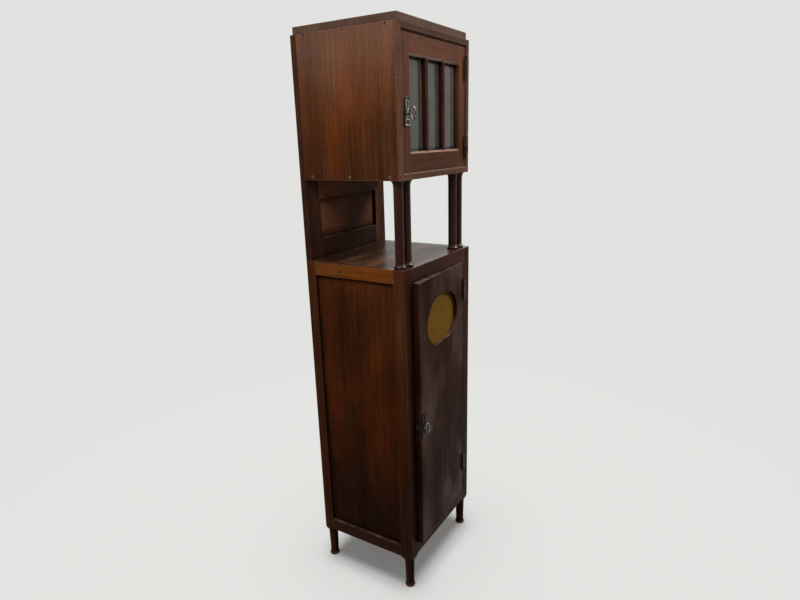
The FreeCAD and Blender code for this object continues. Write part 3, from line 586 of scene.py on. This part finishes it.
def metalFinish(kind):
    look = {**metalWear, **metalLooks[kind]}
    material, tree, shader, place = newFinish(f"{kind}Metal")
    rub = useGroup(tree, edgeRub, place, **look["rub"])["Mask"]
    stain = speckle(tree, place, "metalStain")
    pits = speckle(tree, place, "metalPits")
    bright = calc(tree, "MAXIMUM", times(tree, stain, look["stain"]), rub)
    colour = blendColour(tree, "MIX", bright, look["aged"], look["worn"])
    colour = blendColour(tree, "MULTIPLY", times(tree, pits, look["pits"]), colour, look["aged"])
    if "stained" in look:
        clean = spread(tree, heightOf(tree, place), *look["stainedBelow"])
        colour = blendColour(tree, "MIX", clean, look["stained"], colour)
    join(tree, colour, shader.inputs["Base Color"])
    smooth, dull = look["polish"]
    join(tree, spread(tree, bright, 0.0, 1.0, dull, smooth), shader.inputs["Roughness"])
    setSockets(shader, {"Metallic": look["metallic"], "Specular IOR Level": look["specular"]})
    roughen(tree, shader, calc(tree, "SUBTRACT", stain, pits), *look["relief"])
    return material


paneLook = {
    "film": [(0.112, 0.105, 0.099), (0.150, 0.142, 0.133)],  # grey film on the panes, a painted reflection
    "left": (0.70, 0.67, 0.59),  # painted highlights on the ground bevels
    "right": (0.70, 0.68, 0.64),
    # painted shade on the bottom bevels
    "low": (0.050, 0.056, 0.050),
    "tilt": (0.04, 0.10),
    "polish": (0.05, 0.14),
    "relief": (0.05, 0.002),  # strength, and depth in metres
    "sockets": {"Transmission Weight": 0.5, "Specular IOR Level": 0.06, "IOR": 1.5},
}


def glassFinish():
    # old glass: a faint grey film on the field, painted to stand in for reflections, and bevelled borders
    # with painted highlights at the sides and painted shade at the bottom
    material, tree, shader, place = newFinish("bevelledGlass")
    film = speckle(tree, place, "glassFilm")
    tint = blendColour(tree, "MIX", film, *paneLook["film"])
    normal = addNode(tree, "ShaderNodeTexCoord").outputs["Normal"]
    for axis, sign, edge in (("X", -1, "left"), ("X", 1, "right"), ("Z", -1, "low")):
        tilt = times(tree, along(tree, normal, axis), sign)
        tint = blendColour(tree, "MIX", spread(tree, tilt, *paneLook["tilt"]), tint, paneLook[edge])
    join(tree, tint, shader.inputs["Base Color"])
    join(tree, spread(tree, film, 0.0, 1.0, *paneLook["polish"]), shader.inputs["Roughness"])
    roughen(tree, shader, speckle(tree, place, "glassWaves"), *paneLook["relief"])
    setSockets(shader, paneLook["sockets"])
    return material


metals = {kind: metalFinish(kind) for kind in metalLooks}
glass = glassFinish()
print("metal and glass finishes built")

# finishes on the pieces that keep their own shape

# painted shade by height: two heights, and the share of its colour that the wood keeps at the first
lowShade = (0.10, 0.90, 0.38)
postShade = (0.10, 1.10, 0.50)
rearShade = (2.0, 3.0, 0.74)  # heights above the cabinet darken a piece all over
frontShade = (2.0, 3.0, 0.78)
stripShade = (1.77, 1.40, 0.55)  # darker at the top
boxShade = (1.38, 1.76, 0.50)
doorShade = (1.38, 1.72, 0.72)
nicheShade = (1.14, 1.34, 0.42)
nicheRailShade = (1.17, 1.36, 0.16)
noShade = (0.0, 0.1, 1.0)
woodParts = [
    ("panel", "z", 1, lowShade, ["left_side_panel"]),
    ("panel", "z", 2, lowShade, ["right_side_panel"]),
    ("side", "z", 3, boxShade, ["upper_left_side"]),
    ("side", "z", 4, boxShade, ["upper_right_side"]),
    ("rail", "y", 5, noShade, ["left_top_rail", "right_top_rail"]),
    ("niche", "z", 6, nicheShade, ["niche_panel"]),
    ("ledge", "y", 7, noShade, ["left_bottom_rail", "right_bottom_rail"]),
    ("frame", "x", 8, frontShade, [
        "front_top_rail", "front_bottom_rail", "rear_top_rail", "rear_bottom_rail",
    ]),
    ("stile", "z", 9, noShade, ["left_back_stile", "right_back_stile"]),
    ("niche", "x", 10, nicheRailShade, ["niche_bottom_rail", "niche_top_rail", "back_top_rail"]),
    ("cap", "x", 11, noShade, ["cap_board"]),
    ("counter", "x", 12, noShade, ["counter_top"]),
    ("lowerDoor", "z", 13, noShade, ["lower_door_board"]),
    ("upperDoor", "z", 14, doorShade, ["upper_door_left_stile", "upper_door_right_stile"]),
    ("bar", "z", 15, noShade, ["upper_door_glazing_bars"]),
    ("upperDoor", "x", 16, doorShade, ["upper_door_top_rail", "upper_door_bottom_rail"]),
    ("inner", "x", 17, noShade, ["floor_board", "lower_shelf", "upper_shelf", "lower_door_battens"]),
    ("inner", "x", 18, noShade, ["upper_bottom_board", "upper_top_board"]),
    ("inner", "z", 19, noShade, [
        "lower_back_panel", "upper_back_panel", "door_stops", "upper_door_glass_beads",
    ]),
    ("inner", "y", 20, noShade, ["shelf_cleats"]),
    ("post", "z", 21, postShade, ["front_left_post", "front_right_post"]),
    ("post", "z", 24, rearShade, ["rear_left_post", "rear_right_post"]),
]
plainParts = [
    (metals["screw"], ["box_screws"]),
    (metals["steel"], ["upper_lock_bolt", "lower_lock_bolt"]),
    (metals["lockIron"], ["upper_lock_case", "lower_lock_case"]),
    (glass, ["upper_door_panes"]),
]


def paint(members, finish):
    for member in members:
        mesh = nodes[member].data
        mesh.materials.clear()
        mesh.materials.append(finish)


for kind, grain, seed, shade, members in woodParts:
    paint(members, woodFinish(kind, grain, seed, shade))
for finish, members in plainParts:
    paint(members, finish)
print("finishes laid on the frame's own pieces")

# modelled pieces


def placeMesh(name, bm, finishes):
    mesh = bpy.data.meshes.new(name)
    bm.to_mesh(mesh)
    bm.free()
    for finish in finishes:
        mesh.materials.append(finish)
    thing = bpy.data.objects.new(name, mesh)
    scene.collection.objects.link(thing)
    return thing


def finishPiece(name, bm, finishes, body, replaced, sharp=35, merge=True):
    if merge:
        bmesh.ops.remove_doubles(bm, verts=bm.verts, dist=weld)
    bmesh.ops.recalc_face_normals(bm, faces=bm.faces)
    for face in bm.faces:
        face.smooth = True
    piece = placeMesh(name, bm, finishes)
    piece.data.set_sharp_from_angle(angle=math.radians(sharp))
    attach(piece, body)
    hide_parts(*replaced)


def newVerts(geom):
    return [item for item in geom if isinstance(item, bmesh.types.BMVert)]


def edgesOf(verts):
    return list({edge for vert in verts for edge in vert.link_edges})


def openEdges(bm):
    return [edge for edge in bm.edges if edge.is_boundary]


def softenEdges(bm, edges, width, segments):
    bmesh.ops.bevel(
        bm, geom=edges, offset=width * mm, affect="EDGES", segments=segments, profile=0.5, material=-1
    )


def bend(start, pull, end, steps):
    # points of a soft curve from start to end, drawn towards pull
    points = []
    for step in range(steps + 1):
        t = step / steps
        weights = ((1 - t) ** 2, 2 * t * (1 - t), t * t)
        points.append(tuple(sum(w * p[i] for w, p in zip(weights, (start, pull, end))) for i in (0, 1)))
    return points


def turnProfile(bm, profile, centre, axis=zAxis, steps=48):
    # a lathe-turned shell: the profile is (radius, distance along the axis) in millimetres
    points = [bm.verts.new(centre + (xAxis * radius + axis * rise) * mm) for radius, rise in profile]
    edges = [bm.edges.new(pair) for pair in zip(points, points[1:])]
    bmesh.ops.spin(
        bm, geom=points + edges, cent=centre, axis=axis, angle=fullTurn, steps=steps, use_merge=True
    )


def softBlock(bm, size, place, bevel, segments, turn=Matrix()):
    # a box with softened edges, sizes and places in millimetres
    before = set(bm.verts)
    made = bmesh.ops.create_cube(bm, size=1.0)["verts"]
    bmesh.ops.scale(bm, vec=Vector(size) * mm, verts=made)
    softenEdges(bm, edgesOf(made), bevel, segments)
    made = [vert for vert in bm.verts if vert not in before]
    bmesh.ops.transform(bm, matrix=Matrix.Translation(Vector(place) * mm) @ turn, verts=made)


columnTurning = {
    "shaft": 14.25,  # radii
    "neck": 14.9,
    "ring": 19.5,
    "capital": 19.5,
    "ringHeight": 9.0,
    "beadHeight": 3.0,
    "coveHeight": 20.0,
    "abacus": 3.0,
    "seed": 22,
}


def columnProfile(height):
    look = columnTurning
    shaft, neck, ring, capital = look["shaft"], look["neck"], look["ring"], look["capital"]
    top = height - look["abacus"]
    ringTop = look["ringHeight"]
    bead = ringTop + look["beadHeight"]
    profile = [(0, 0)]
    profile += bend((ring - 3, 0), (ring + 2.6, ringTop / 2), (ring - 3.4, ringTop), 10)
    profile += [(neck, ringTop + 0.2)]
    profile += bend((neck, ringTop + 0.4), (neck + 2.2, bead - 1.3), (neck, bead), 6)
    profile += bend((neck - 0.05, bead + 0.1), (shaft, bead + 1), (shaft, bead + 9), 5)
    profile += [(shaft - 0.15, height * 0.45)]
    cove = top - look["coveHeight"]
    profile += bend((shaft, cove), (shaft + 0.4, top - 3), (capital - 0.4, top - 0.2), 10)
    profile += [(capital, top), (capital, height - 0.3), (capital - 0.3, height), (0, height)]
    return profile


def makeColumns():
    finish = woodFinish("column", "z", columnTurning["seed"], noShade)
    for name in ("left_outer_column", "left_inner_column", "right_inner_column", "right_outer_column"):
        low, high = (Vector(corner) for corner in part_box(name))
        foot = Vector(((low.x + high.x) / 2, (low.y + high.y) / 2, low.z))
        bm = bmesh.new()
        turnProfile(bm, columnProfile((high.z - low.z) / mm), foot)
        finishPiece(f"{name}_turned", bm, [finish], "carcase", [name])


makeColumns()
print("columns turned")

facing = {
    "flat": 16.0,
    "slope": 4.0,  # bevel towards the door
    "arris": 0.7,
    "mitre": 0.3,  # softened edge where two strips meet
    "seed": 23,
}


def mitreEdges(bm, middle, half):
    # edges that lie in the corners' diagonal planes
    def onMitre(spot):
        across = half.x - abs(spot.x - middle.x)
        up = half.z - abs(spot.z - middle.z)
        return abs(across - up) < hair

    def lies(edge):
        start, end = (vert.co for vert in edge.verts)
        return onMitre(start) and onMitre(end) and onMitre((start + end) / 2)

    return [edge for edge in bm.edges if lies(edge)]


def makeFacing():
    # one moulded ring, cut into four strips at the mitres
    low, high = (Vector(corner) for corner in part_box("facing_strips"))
    middle = (low + high) / 2
    half = (high - low) / 2
    bm = bmesh.new()
    bmesh.ops.create_grid(bm, x_segments=1, y_segments=1, size=1.0)
    bmesh.ops.scale(bm, vec=(half.x, half.z, 1), verts=bm.verts)
    upright = Matrix.Translation((middle.x, low.y, middle.z)) @ Matrix.Rotation(math.radians(90), 4, "X")
    bmesh.ops.transform(bm, matrix=upright, verts=bm.verts)
    field = list(bm.faces)
    for step in ("flat", "slope"):
        bmesh.ops.inset_region(
            bm, faces=field, thickness=facing[step] * mm, use_even_offset=True, use_boundary=True
        )
    bmesh.ops.translate(bm, vec=yAxis * facing["slope"] * mm, verts=field[0].verts)
    bmesh.ops.delete(bm, geom=field, context="FACES")
    rim = openEdges(bm)
    outer = [edge for edge in rim if all(vert.co.y < low.y + hair for vert in edge.verts)]
    back = bmesh.ops.extrude_edge_only(bm, edges=rim)["geom"]
    for vert in newVerts(back):
        vert.co.y = high.y
    softenEdges(bm, outer, facing["arris"], 2)
    bmesh.ops.bridge_loops(bm, edges=openEdges(bm))
    bmesh.ops.split_edges(bm, edges=mitreEdges(bm, middle, half))
    bmesh.ops.holes_fill(bm, edges=openEdges(bm), sides=0)
    softenEdges(bm, mitreEdges(bm, middle, half), facing["mitre"], 1)
    for face in bm.faces:
        spot = face.calc_center_median()
        standing = half.x - abs(spot.x - middle.x) < half.z - abs(spot.z - middle.z)
        face.material_index = 1 if standing else 0
    shades = {"x": stripShade, "z": noShade}
    finishes = [woodFinish("facing", grain, facing["seed"], shade) for grain, shade in shades.items()]
    finishPiece(
        "facing_strips_mitred", bm, finishes, "carcase", ["facing_strips"],
        sharp=20, merge=False,
    )


makeFacing()
print("facing strips mitred")

hinges = {
    "knuckle": 4.5,  # radius
    "length": 29.0,  # from the split to the finial
    "split": 0.1,
    "rounding": 0.4,
    "groove": 0.5,  # depth of the turned groove, and its shares of the length
    "grooveAt": (0.80, 0.82, 0.84),
    "leaf": (0.1, 1.25),  # from the axis to the leaf's two faces
    "leafDepth": 14.0,
    "leafSoft": 0.2,
    "tabInto": 0.4,  # how far the tab runs into the leaf
    "finial": [(2.4, 2.2), (2.4, 2.9), (3.4, 4.4), (3.2, 6.0), (1.9, 8.7), (1.0, 11.0), (0, 13.0)],
    "upper": {"axis": (0.19675, -0.161435), "levels": (1.4555, 1.6945), "frame": 4.8, "door": 8.8},
    "lower": {"axis": (0.17475, -0.166435), "levels": (0.290, 0.976), "frame": 4.8, "door": 4.8},
}
doorAjar = math.radians(3.4)
lowerHinge = Vector((*hinges["lower"]["axis"], 0))
ajar = Matrix.Translation(lowerHinge) @ Matrix.Rotation(doorAjar, 4, "Z") @ Matrix.Translation(-lowerHinge)


def addHingeHalf(bm, centre, way, side, leafStart):
    radius, length, split = hinges["knuckle"], hinges["length"], hinges["split"]
    rounding, groove = hinges["rounding"], hinges["groove"]
    barrel = [(0, split), (radius - rounding, split), (radius, split + rounding)]
    barrel += [(radius - deep, length * share) for deep, share in zip((0, groove, 0), hinges["grooveAt"])]
    barrel += [(radius, length - groove), (radius - groove, length)]
    profile = barrel + [(r, length + rise) for r, rise in hinges["finial"]]
    turnProfile(bm, [(r, rise * way) for r, rise in profile], centre, steps=24)
    near, far = hinges["leaf"]
    across = side * (near + far) / 2
    depth, soft, into = hinges["leafDepth"], hinges["leafSoft"], hinges["tabInto"]
    corner = centre / mm
    plate = (far - near, depth, 2 * length)
    softBlock(bm, plate, corner + Vector((across, leafStart + depth / 2, 0)), soft, 1)
    tab = (far - near - into, leafStart + into, length - split - 2 * into)
    middle = Vector((across, (leafStart + into) / 2, way * (length + split) / 2))
    softBlock(bm, tab, corner + middle, soft, 1)


def makeHinges():
    # the frame's halves carry the lower knuckles, the doors' halves the upper ones
    finishes = [metals["blackened"]]
    frameSide = bmesh.new()
    for door in ("upper", "lower"):
        look = hinges[door]
        doorSide = bmesh.new()
        for level in look["levels"]:
            centre = Vector((*look["axis"], level))
            addHingeHalf(frameSide, centre, -1, 1, look["frame"])
            addHingeHalf(doorSide, centre, 1, -1, look["door"])
        if door == "lower":
            bmesh.ops.transform(doorSide, matrix=ajar, verts=doorSide.verts)
        node = f"{door}_door_hinge_leaves"
        finishPiece(f"{node}_turned", doorSide, finishes, f"{door}_door", [node])
    node = "hinge_frame_leaves"
    finishPiece(f"{node}_turned", frameSide, finishes, "carcase", [node])


makeHinges()
print("hinges turned")

locks = {
    # the key's axis where it meets the face of the door, and how far the door stands open
    "upper": {
        "place": (-0.172, -0.152635, 1.551), "turn": 0.0, "standoff": 20.0, "reach": 16.8,
        "finishes": [metals["pewter"], metals["patina"]],
    },
    "lower": {
        "place": (-0.158198, -0.181407, 0.600), "turn": doorAjar, "standoff": 15.0, "reach": 12.8,
        "finishes": [metals["patina"], metals["lockIron"]],  # blacker than the upper one
    },
}
castPlate = {
    "width": 25.0,
    "low": -34.0,  # from the key down to the foot of the plate
    "shoulder": 39.0,
    "arch": 5.0,
    "thickness": 3.0,
    "rim": 2.2,
    "step": 0.5,  # from the rim down to the sunk face
    "sink": 1.1,
    "arris": 0.6,
    "wallTilt": 0.1,  # a face that looks forward by less than this is a wall
    # radius and rise of the ring round the keyhole
    "collar": [(3.3, -1.0), (3.3, 1.6), (3.8, 2.0), (4.8, 1.7), (5.6, 0.9), (5.6, -1.0), (3.3, -1.0)],
    "domeFlat": 0.55,
    "eyeletWire": 0.9,
    "eyeletRise": (-0.2, 0.6, 2.0),  # root, shoulder and crown
    "barDepth": 2.6,
    "barSoft": 0.9,
    "barLift": 0.4,
    "domes": [(-6.2, 30.5, 3.4), (6.2, 30.5, 3.4), (0.0, 35.6, 2.2)],  # across, up, radius
    "eyelets": [(0.0, 23.5, 2.6), (-7.4, 23.8, 1.7), (7.4, 23.8, 1.7), (0.0, -13.5, 2.6)],
    "bars": [
        # across, up, length, width, degrees
        (-5.0, 13.0, 22.0, 3.0, -24.0),
        (5.0, 13.0, 22.0, 3.0, 24.0),
        (0.0, -7.5, 19.0, 2.6, 90.0),
        (-9.0, -20.5, 17.0, 2.6, 0.0),
        (9.0, -20.5, 17.0, 2.6, 0.0),
        (0.0, -31.0, 23.0, 5.0, 90.0),
    ],
}


def lockPlace(lock):
    return Matrix.Translation(lock["place"]) @ Matrix.Rotation(lock["turn"], 4, "Z")


def addPlateBody(bm):
    look = castPlate
    half = look["width"] / 2 * mm
    low, shoulder, arch = look["low"] * mm, look["shoulder"] * mm, look["arch"] * mm
    bmesh.ops.create_grid(bm, x_segments=12, y_segments=1, size=1.0)
    upright = Matrix.Rotation(math.radians(90), 4, "X")
    bmesh.ops.transform(bm, matrix=upright, verts=bm.verts)
    for vert in bm.verts:
        across = vert.co.x
        crown = arch * (1 - across * across) if vert.co.z > 0 else 0
        vert.co.z = (shoulder if vert.co.z > 0 else low) + crown
        vert.co.x = across * half
    outline = bmesh.ops.dissolve_faces(bm, faces=list(bm.faces))["region"]
    solid = bmesh.ops.extrude_face_region(bm, geom=outline, use_keep_orig=True)["geom"]
    face = next(item for item in solid if isinstance(item, bmesh.types.BMFace))
    bmesh.ops.translate(bm, vec=(0, -look["thickness"] * mm, 0), verts=face.verts)
    for step in ("rim", "step"):
        bmesh.ops.inset_region(bm, faces=[face], thickness=look[step] * mm, use_even_offset=True)
    bmesh.ops.translate(bm, vec=(0, look["sink"] * mm, 0), verts=face.verts)
    for other in bm.faces:
        other.material_index = 1
    bm.normal_update()
    front = -look["thickness"] * mm
    # edges between the front and the walls
    outer = [
        edge for edge in bm.edges
        if all(abs(vert.co.y - front) < hair for vert in edge.verts)
        and any(abs(other.normal.y) < look["wallTilt"] for other in edge.link_faces)
    ]
    softenEdges(bm, outer, look["arris"], 3)


def addPlateRelief(bm):
    look = castPlate
    face = -look["thickness"] + look["sink"]
    for across, up, radius in look["domes"]:
        made = bmesh.ops.create_uvsphere(bm, u_segments=20, v_segments=12, radius=radius * mm)["verts"]
        bmesh.ops.scale(bm, vec=(1, look["domeFlat"], 1), verts=made)
        bmesh.ops.translate(bm, vec=Vector((across, face, up)) * mm, verts=made)
    root, shoulder, crown = look["eyeletRise"]
    for across, up, radius in look["eyelets"]:
        inner, outer = radius - look["eyeletWire"], radius + look["eyeletWire"]
        ring = [(inner, root)] + bend((inner, shoulder), (radius, crown), (outer, shoulder), 6)
        ring += [(outer, root), (inner, root)]
        turnProfile(bm, ring, Vector((across, face, up)) * mm, axis=-yAxis, steps=20)
    for across, up, length, width, tilt in look["bars"]:
        turn = Matrix.Rotation(math.radians(tilt), 4, "Y")
        size = (width, look["barDepth"], length)
        softBlock(bm, size, (across, face - look["barLift"], up), look["barSoft"], 3, turn)
    turnProfile(bm, look["collar"], Vector((0, face, 0)) * mm, axis=-yAxis, steps=32)


def makeLockPlates():
    for door, lock in locks.items():
        bm = bmesh.new()
        addPlateBody(bm)
        addPlateRelief(bm)
        bmesh.ops.transform(bm, matrix=lockPlace(lock), verts=bm.verts)
        node = f"{door}_lock_plate"
        finishPiece(f"{node}_cast", bm, lock["finishes"], f"{door}_door", [node])


makeLockPlates()
print("lock plates cast")

keyShape = {
    "ring": 1.95,  # radius of the bow's wire
    "bow": (17.2, 7.2),  # half height and half depth of the wire's oval
    "bowEnd": 4.2,  # radius of its tight ends
    "bowStep": 9,  # degrees
    "shank": 3.0,
    "shankInto": 1.1,  # how far the shank runs into the bow's wire
    # past the shank's radius, and along it from the bow's back, then from the face of the door
    "root": [(0.5, 0.0), (0.7, 0.7), (0.0, 1.3)],
    "neck": [(-0.2, -7.3), (0.4, -6.9)],
    "collar": [(0.5, -6.6), (2.2, -5.1), (0.5, -3.6)],  # start, pull and end of a curve
    "collarEnd": -3.4,
    "tip": 0.3,
    "bit": (2.4, 4.0, 9.0),
    "bitSoft": 0.3,
}


def addBow(bm, middle):
    # the wire's section is swept round an oval of two tight ends and two long sides, arc by arc
    high, deep = keyShape["bow"]
    end = keyShape["bowEnd"]
    lift = high - end
    sideRadius = (lift * lift + deep * deep - end * end) / (2 * (deep - end))
    shift = sideRadius - deep
    side = math.atan2(lift, shift)
    section = bmesh.ops.create_circle(bm, segments=12, radius=keyShape["ring"] * mm)["verts"]
    bmesh.ops.translate(bm, vec=middle + yAxis * deep * mm, verts=section)
    geom = section + edgesOf(section)
    arcs = [
        (-yAxis * shift, side),
        (zAxis * lift, math.pi - 2 * side),
        (yAxis * shift, 2 * side),
        (-zAxis * lift, math.pi - 2 * side),
        (-yAxis * shift, side),
    ]
    for centre, angle in arcs:
        steps = max(4, round(math.degrees(angle) / keyShape["bowStep"]))
        swept = bmesh.ops.spin(
            bm, geom=geom, cent=middle + centre * mm, axis=xAxis, angle=angle, steps=steps
        )
        geom = [item for item in swept["geom_last"] if not isinstance(item, bmesh.types.BMFace)]


def addShank(bm, bowBack, reach):
    # turned shank with a moulded collar just clear of the plate
    look = keyShape
    radius, tip = look["shank"], look["tip"]
    root = [(radius + out, bowBack + rise) for out, rise in look["root"]]
    neck, collar = ([(radius + out, rise) for out, rise in look[key]] for key in ("neck", "collar"))
    profile = [(0, bowBack)] + root + neck + bend(*collar, 8)
    profile += [(radius, look["collarEnd"]), (radius, reach - tip), (radius - tip, reach), (0, reach)]
    turnProfile(bm, profile, Vector((0, 0, 0)), axis=yAxis, steps=28)
    thickness, width, drop = look["bit"]
    softBlock(bm, (thickness, width, drop), (0, reach - width / 2, -drop / 2), look["bitSoft"], 2)


def makeKeys():
    for door, lock in locks.items():
        bm = bmesh.new()
        addBow(bm, -yAxis * lock["standoff"] * mm)
        addShank(bm, -lock["standoff"] + keyShape["bow"][1] - keyShape["shankInto"], lock["reach"])
        bmesh.ops.transform(bm, matrix=lockPlace(lock), verts=bm.verts)
        node = f"{door}_key"
        finishPiece(f"{node}_cast", bm, [metals["keyMetal"]], node, [node], sharp=50)


makeKeys()
print("keys made")

weave = {
    "across": (-132.5, 132.5),
    "up": (830.0, 1023.0),
    "depth": (-150.635, -149.435),
    "warpPitch": 5.0,
    "weftPitch": 1.23,
    "weft": (0.30, 0.66),  # half depth and half height of a flattened wire
    "warp": 0.28,
}


def addWeft(bm, phase, lift):
    # one wire that passes in front of and behind the upright wires in turn
    depth, rise = weave["weft"]
    left, right = weave["across"]
    section = bmesh.ops.create_circle(bm, segments=4, radius=1.0)["verts"]
    upright = Matrix.Rotation(math.radians(90), 4, "Y") @ Matrix.Diagonal((rise * mm, depth * mm, 1, 1))
    bmesh.ops.transform(bm, matrix=upright, verts=section)
    swing = (weave["depth"][1] - weave["depth"][0]) / 2 - depth
    middle = sum(weave["depth"]) / 2
    start = Vector((left, middle + swing * phase, weave["up"][0] + rise + lift)) * mm
    bmesh.ops.translate(bm, vec=start, verts=section)
    ring = edgesOf(section)
    steps = round((right - left) / weave["warpPitch"])
    for _ in range(steps):
        phase = -phase
        grown = bmesh.ops.extrude_edge_only(bm, edges=ring)["geom"]
        verts = newVerts(grown)
        ring = [
            item for item in grown
            if isinstance(item, bmesh.types.BMEdge) and all(vert in verts for vert in item.verts)
        ]
        shift = Vector(((right - left) / steps, 2 * swing * phase, 0)) * mm
        bmesh.ops.translate(bm, vec=shift, verts=verts)


def makeGauze():
    bm = bmesh.new()
    addWeft(bm, 1, 0)
    addWeft(bm, -1, weave["weftPitch"])
    low, high = weave["up"]
    rows = int((high - low - 2 * weave["weft"][1]) / weave["weftPitch"]) + 1
    pair = list(bm.verts) + list(bm.edges) + list(bm.faces)
    for row in range(1, rows // 2):
        copy = bmesh.ops.duplicate(bm, geom=pair)["geom"]
        bmesh.ops.translate(bm, vec=zAxis * 2 * row * weave["weftPitch"] * mm, verts=newVerts(copy))
    bmesh.ops.holes_fill(bm, edges=openEdges(bm), sides=4)
    left, right = weave["across"]
    middle = sum(weave["depth"]) / 2
    for number in range(1, round((right - left) / weave["warpPitch"])):
        across = left + number * weave["warpPitch"]
        made = bmesh.ops.create_cone(
            bm, cap_ends=True, segments=4, radius1=weave["warp"] * mm, radius2=weave["warp"] * mm,
            depth=(high - low) * mm,
        )["verts"]
        bmesh.ops.translate(bm, vec=Vector((across, middle, (low + high) / 2)) * mm, verts=made)
    bmesh.ops.transform(bm, matrix=ajar, verts=bm.verts)
    node = "lower_door_mesh"
    finishPiece(f"{node}_woven", bm, [metals["gauze"]], "lower_door", [node], sharp=30)


makeGauze()
print("mesh woven")

# floor, light and backdrop

studio = {
    "backdrop": (0.760, 0.760, 0.745),
    "ambient": 0.18,
    "floorAlbedo": (0.800, 0.800, 0.785),
    "floorDim": 0.30,  # share of the floor's paleness that soft bounced light picks up
    "floorRadius": 2.2,
    "floorClear": (1.2, 2.1),  # radii between which the floor fades into the backdrop
    "floorSun": 2.06,
    "floorFill": 0.58,
    "floorRough": 0.9,
    "sunSpread": 34.0,
    "sunPlace": (0, 0, 4),
    "lamps": [
        # name, place, aim, size, watts, colour
        ("keyLamp", (-1.30, -0.35, 2.45), (-0.2, 0.0, 1.5), 0.8, 25.0, (1.0, 0.95, 0.88)),
        ("frontLamp", (1.50, -1.60, 2.90), (0.1, -0.15, 1.30), 0.8, 78.0, (1.0, 0.96, 0.92)),
    ],
    "shadowCasters": [
        "floor_board", "front_left_post", "front_right_post", "rear_left_post", "rear_right_post",
        "left_bottom_rail", "right_bottom_rail", "front_bottom_rail", "rear_bottom_rail",
    ],
}


def backdropRays(tree):
    # rays that show the backdrop as it looks: straight to the camera, mirrored or through glass
    path = addNode(tree, "ShaderNodeLightPath")
    seen = calc(tree, "MAXIMUM", path.outputs["Is Camera Ray"], path.outputs["Is Glossy Ray"])
    return calc(tree, "MAXIMUM", seen, path.outputs["Is Transmission Ray"])


def makeWorld():
    world = bpy.data.worlds.new("studioWorld")
    world.use_nodes = True
    tree = world.node_tree
    light = tree.nodes["Background"]
    join(tree, spread(tree, backdropRays(tree), 0.0, 1.0, studio["ambient"], 1.0), light.inputs["Strength"])
    light.inputs["Color"].default_value = (*studio["backdrop"], 1)
    scene.world = world


def makeFloor():
    bm = bmesh.new()
    bmesh.ops.create_circle(bm, cap_ends=True, segments=96, radius=studio["floorRadius"])
    material, tree, shader, place = newFinish("studioFloor")
    dim = tuple(channel * studio["floorDim"] for channel in studio["floorAlbedo"])
    pale = blendColour(tree, "MIX", backdropRays(tree), dim, studio["floorAlbedo"])
    join(tree, pale, shader.inputs["Base Color"])
    setSockets(shader, {"Roughness": studio["floorRough"], "Specular IOR Level": 0.0})
    span = vectorCalc(tree, "LENGTH", place)["Value"]
    clear = addNode(tree, "ShaderNodeBsdfTransparent")
    mix = addNode(tree, "ShaderNodeMixShader")
    join(tree, spread(tree, span, *studio["floorClear"]), mix.inputs[0])
    join(tree, shader.outputs[0], mix.inputs[1])
    join(tree, clear.outputs[0], mix.inputs[2])
    join(tree, mix.outputs[0], tree.nodes["Material Output"].inputs["Surface"])
    floor = placeMesh("studioFloor", bm, [material])
    return floor


def newCollection(name, members):
    collection = bpy.data.collections.new(name)
    for member in members:
        collection.objects.link(member)
    return collection


def addLight(kind, name, energy, place, receivers):
    light = bpy.data.objects.new(name, bpy.data.lights.new(name, kind))
    light.data.energy = energy
    light.location = place
    light.light_linking.receiver_collection = receivers
    scene.collection.objects.link(light)
    return light


def addLamp(name, place, aim, size, watts, colour, receivers):
    lamp = addLight("AREA", name, watts, place, receivers)
    lamp.data.shape = "DISK"
    lamp.data.size = size
    lamp.data.color = colour
    lamp.rotation_euler = (Vector(aim) - Vector(place)).to_track_quat("-Z", "Y").to_euler()


def addSun(name, strength, receivers, blockers):
    sun = addLight("SUN", name, strength, studio["sunPlace"], receivers)
    sun.data.angle = math.radians(studio["sunSpread"])
    sun.data.use_shadow = blockers is not None
    if blockers is not None:
        sun.light_linking.blocker_collection = blockers


def lightScene(floor):
    # the floor has its own overhead light, so it stays even and keeps a soft shadow under the cabinet
    floorOnly = newCollection("floorOnly", [floor])
    objects = [thing for thing in scene.objects if thing.type == "MESH" and thing is not floor]
    objectOnly = newCollection("objectOnly", objects)
    casters = newCollection("shadowCasters", [nodes[name] for name in studio["shadowCasters"]])
    for lamp in studio["lamps"]:
        addLamp(*lamp, objectOnly)
    addSun("floorSun", studio["floorSun"], floorOnly, casters)
    addSun("floorFill", studio["floorFill"], floorOnly, None)


makeWorld()
lightScene(makeFloor())
scene.view_settings.view_transform = "Standard"
print("floor and light ready")
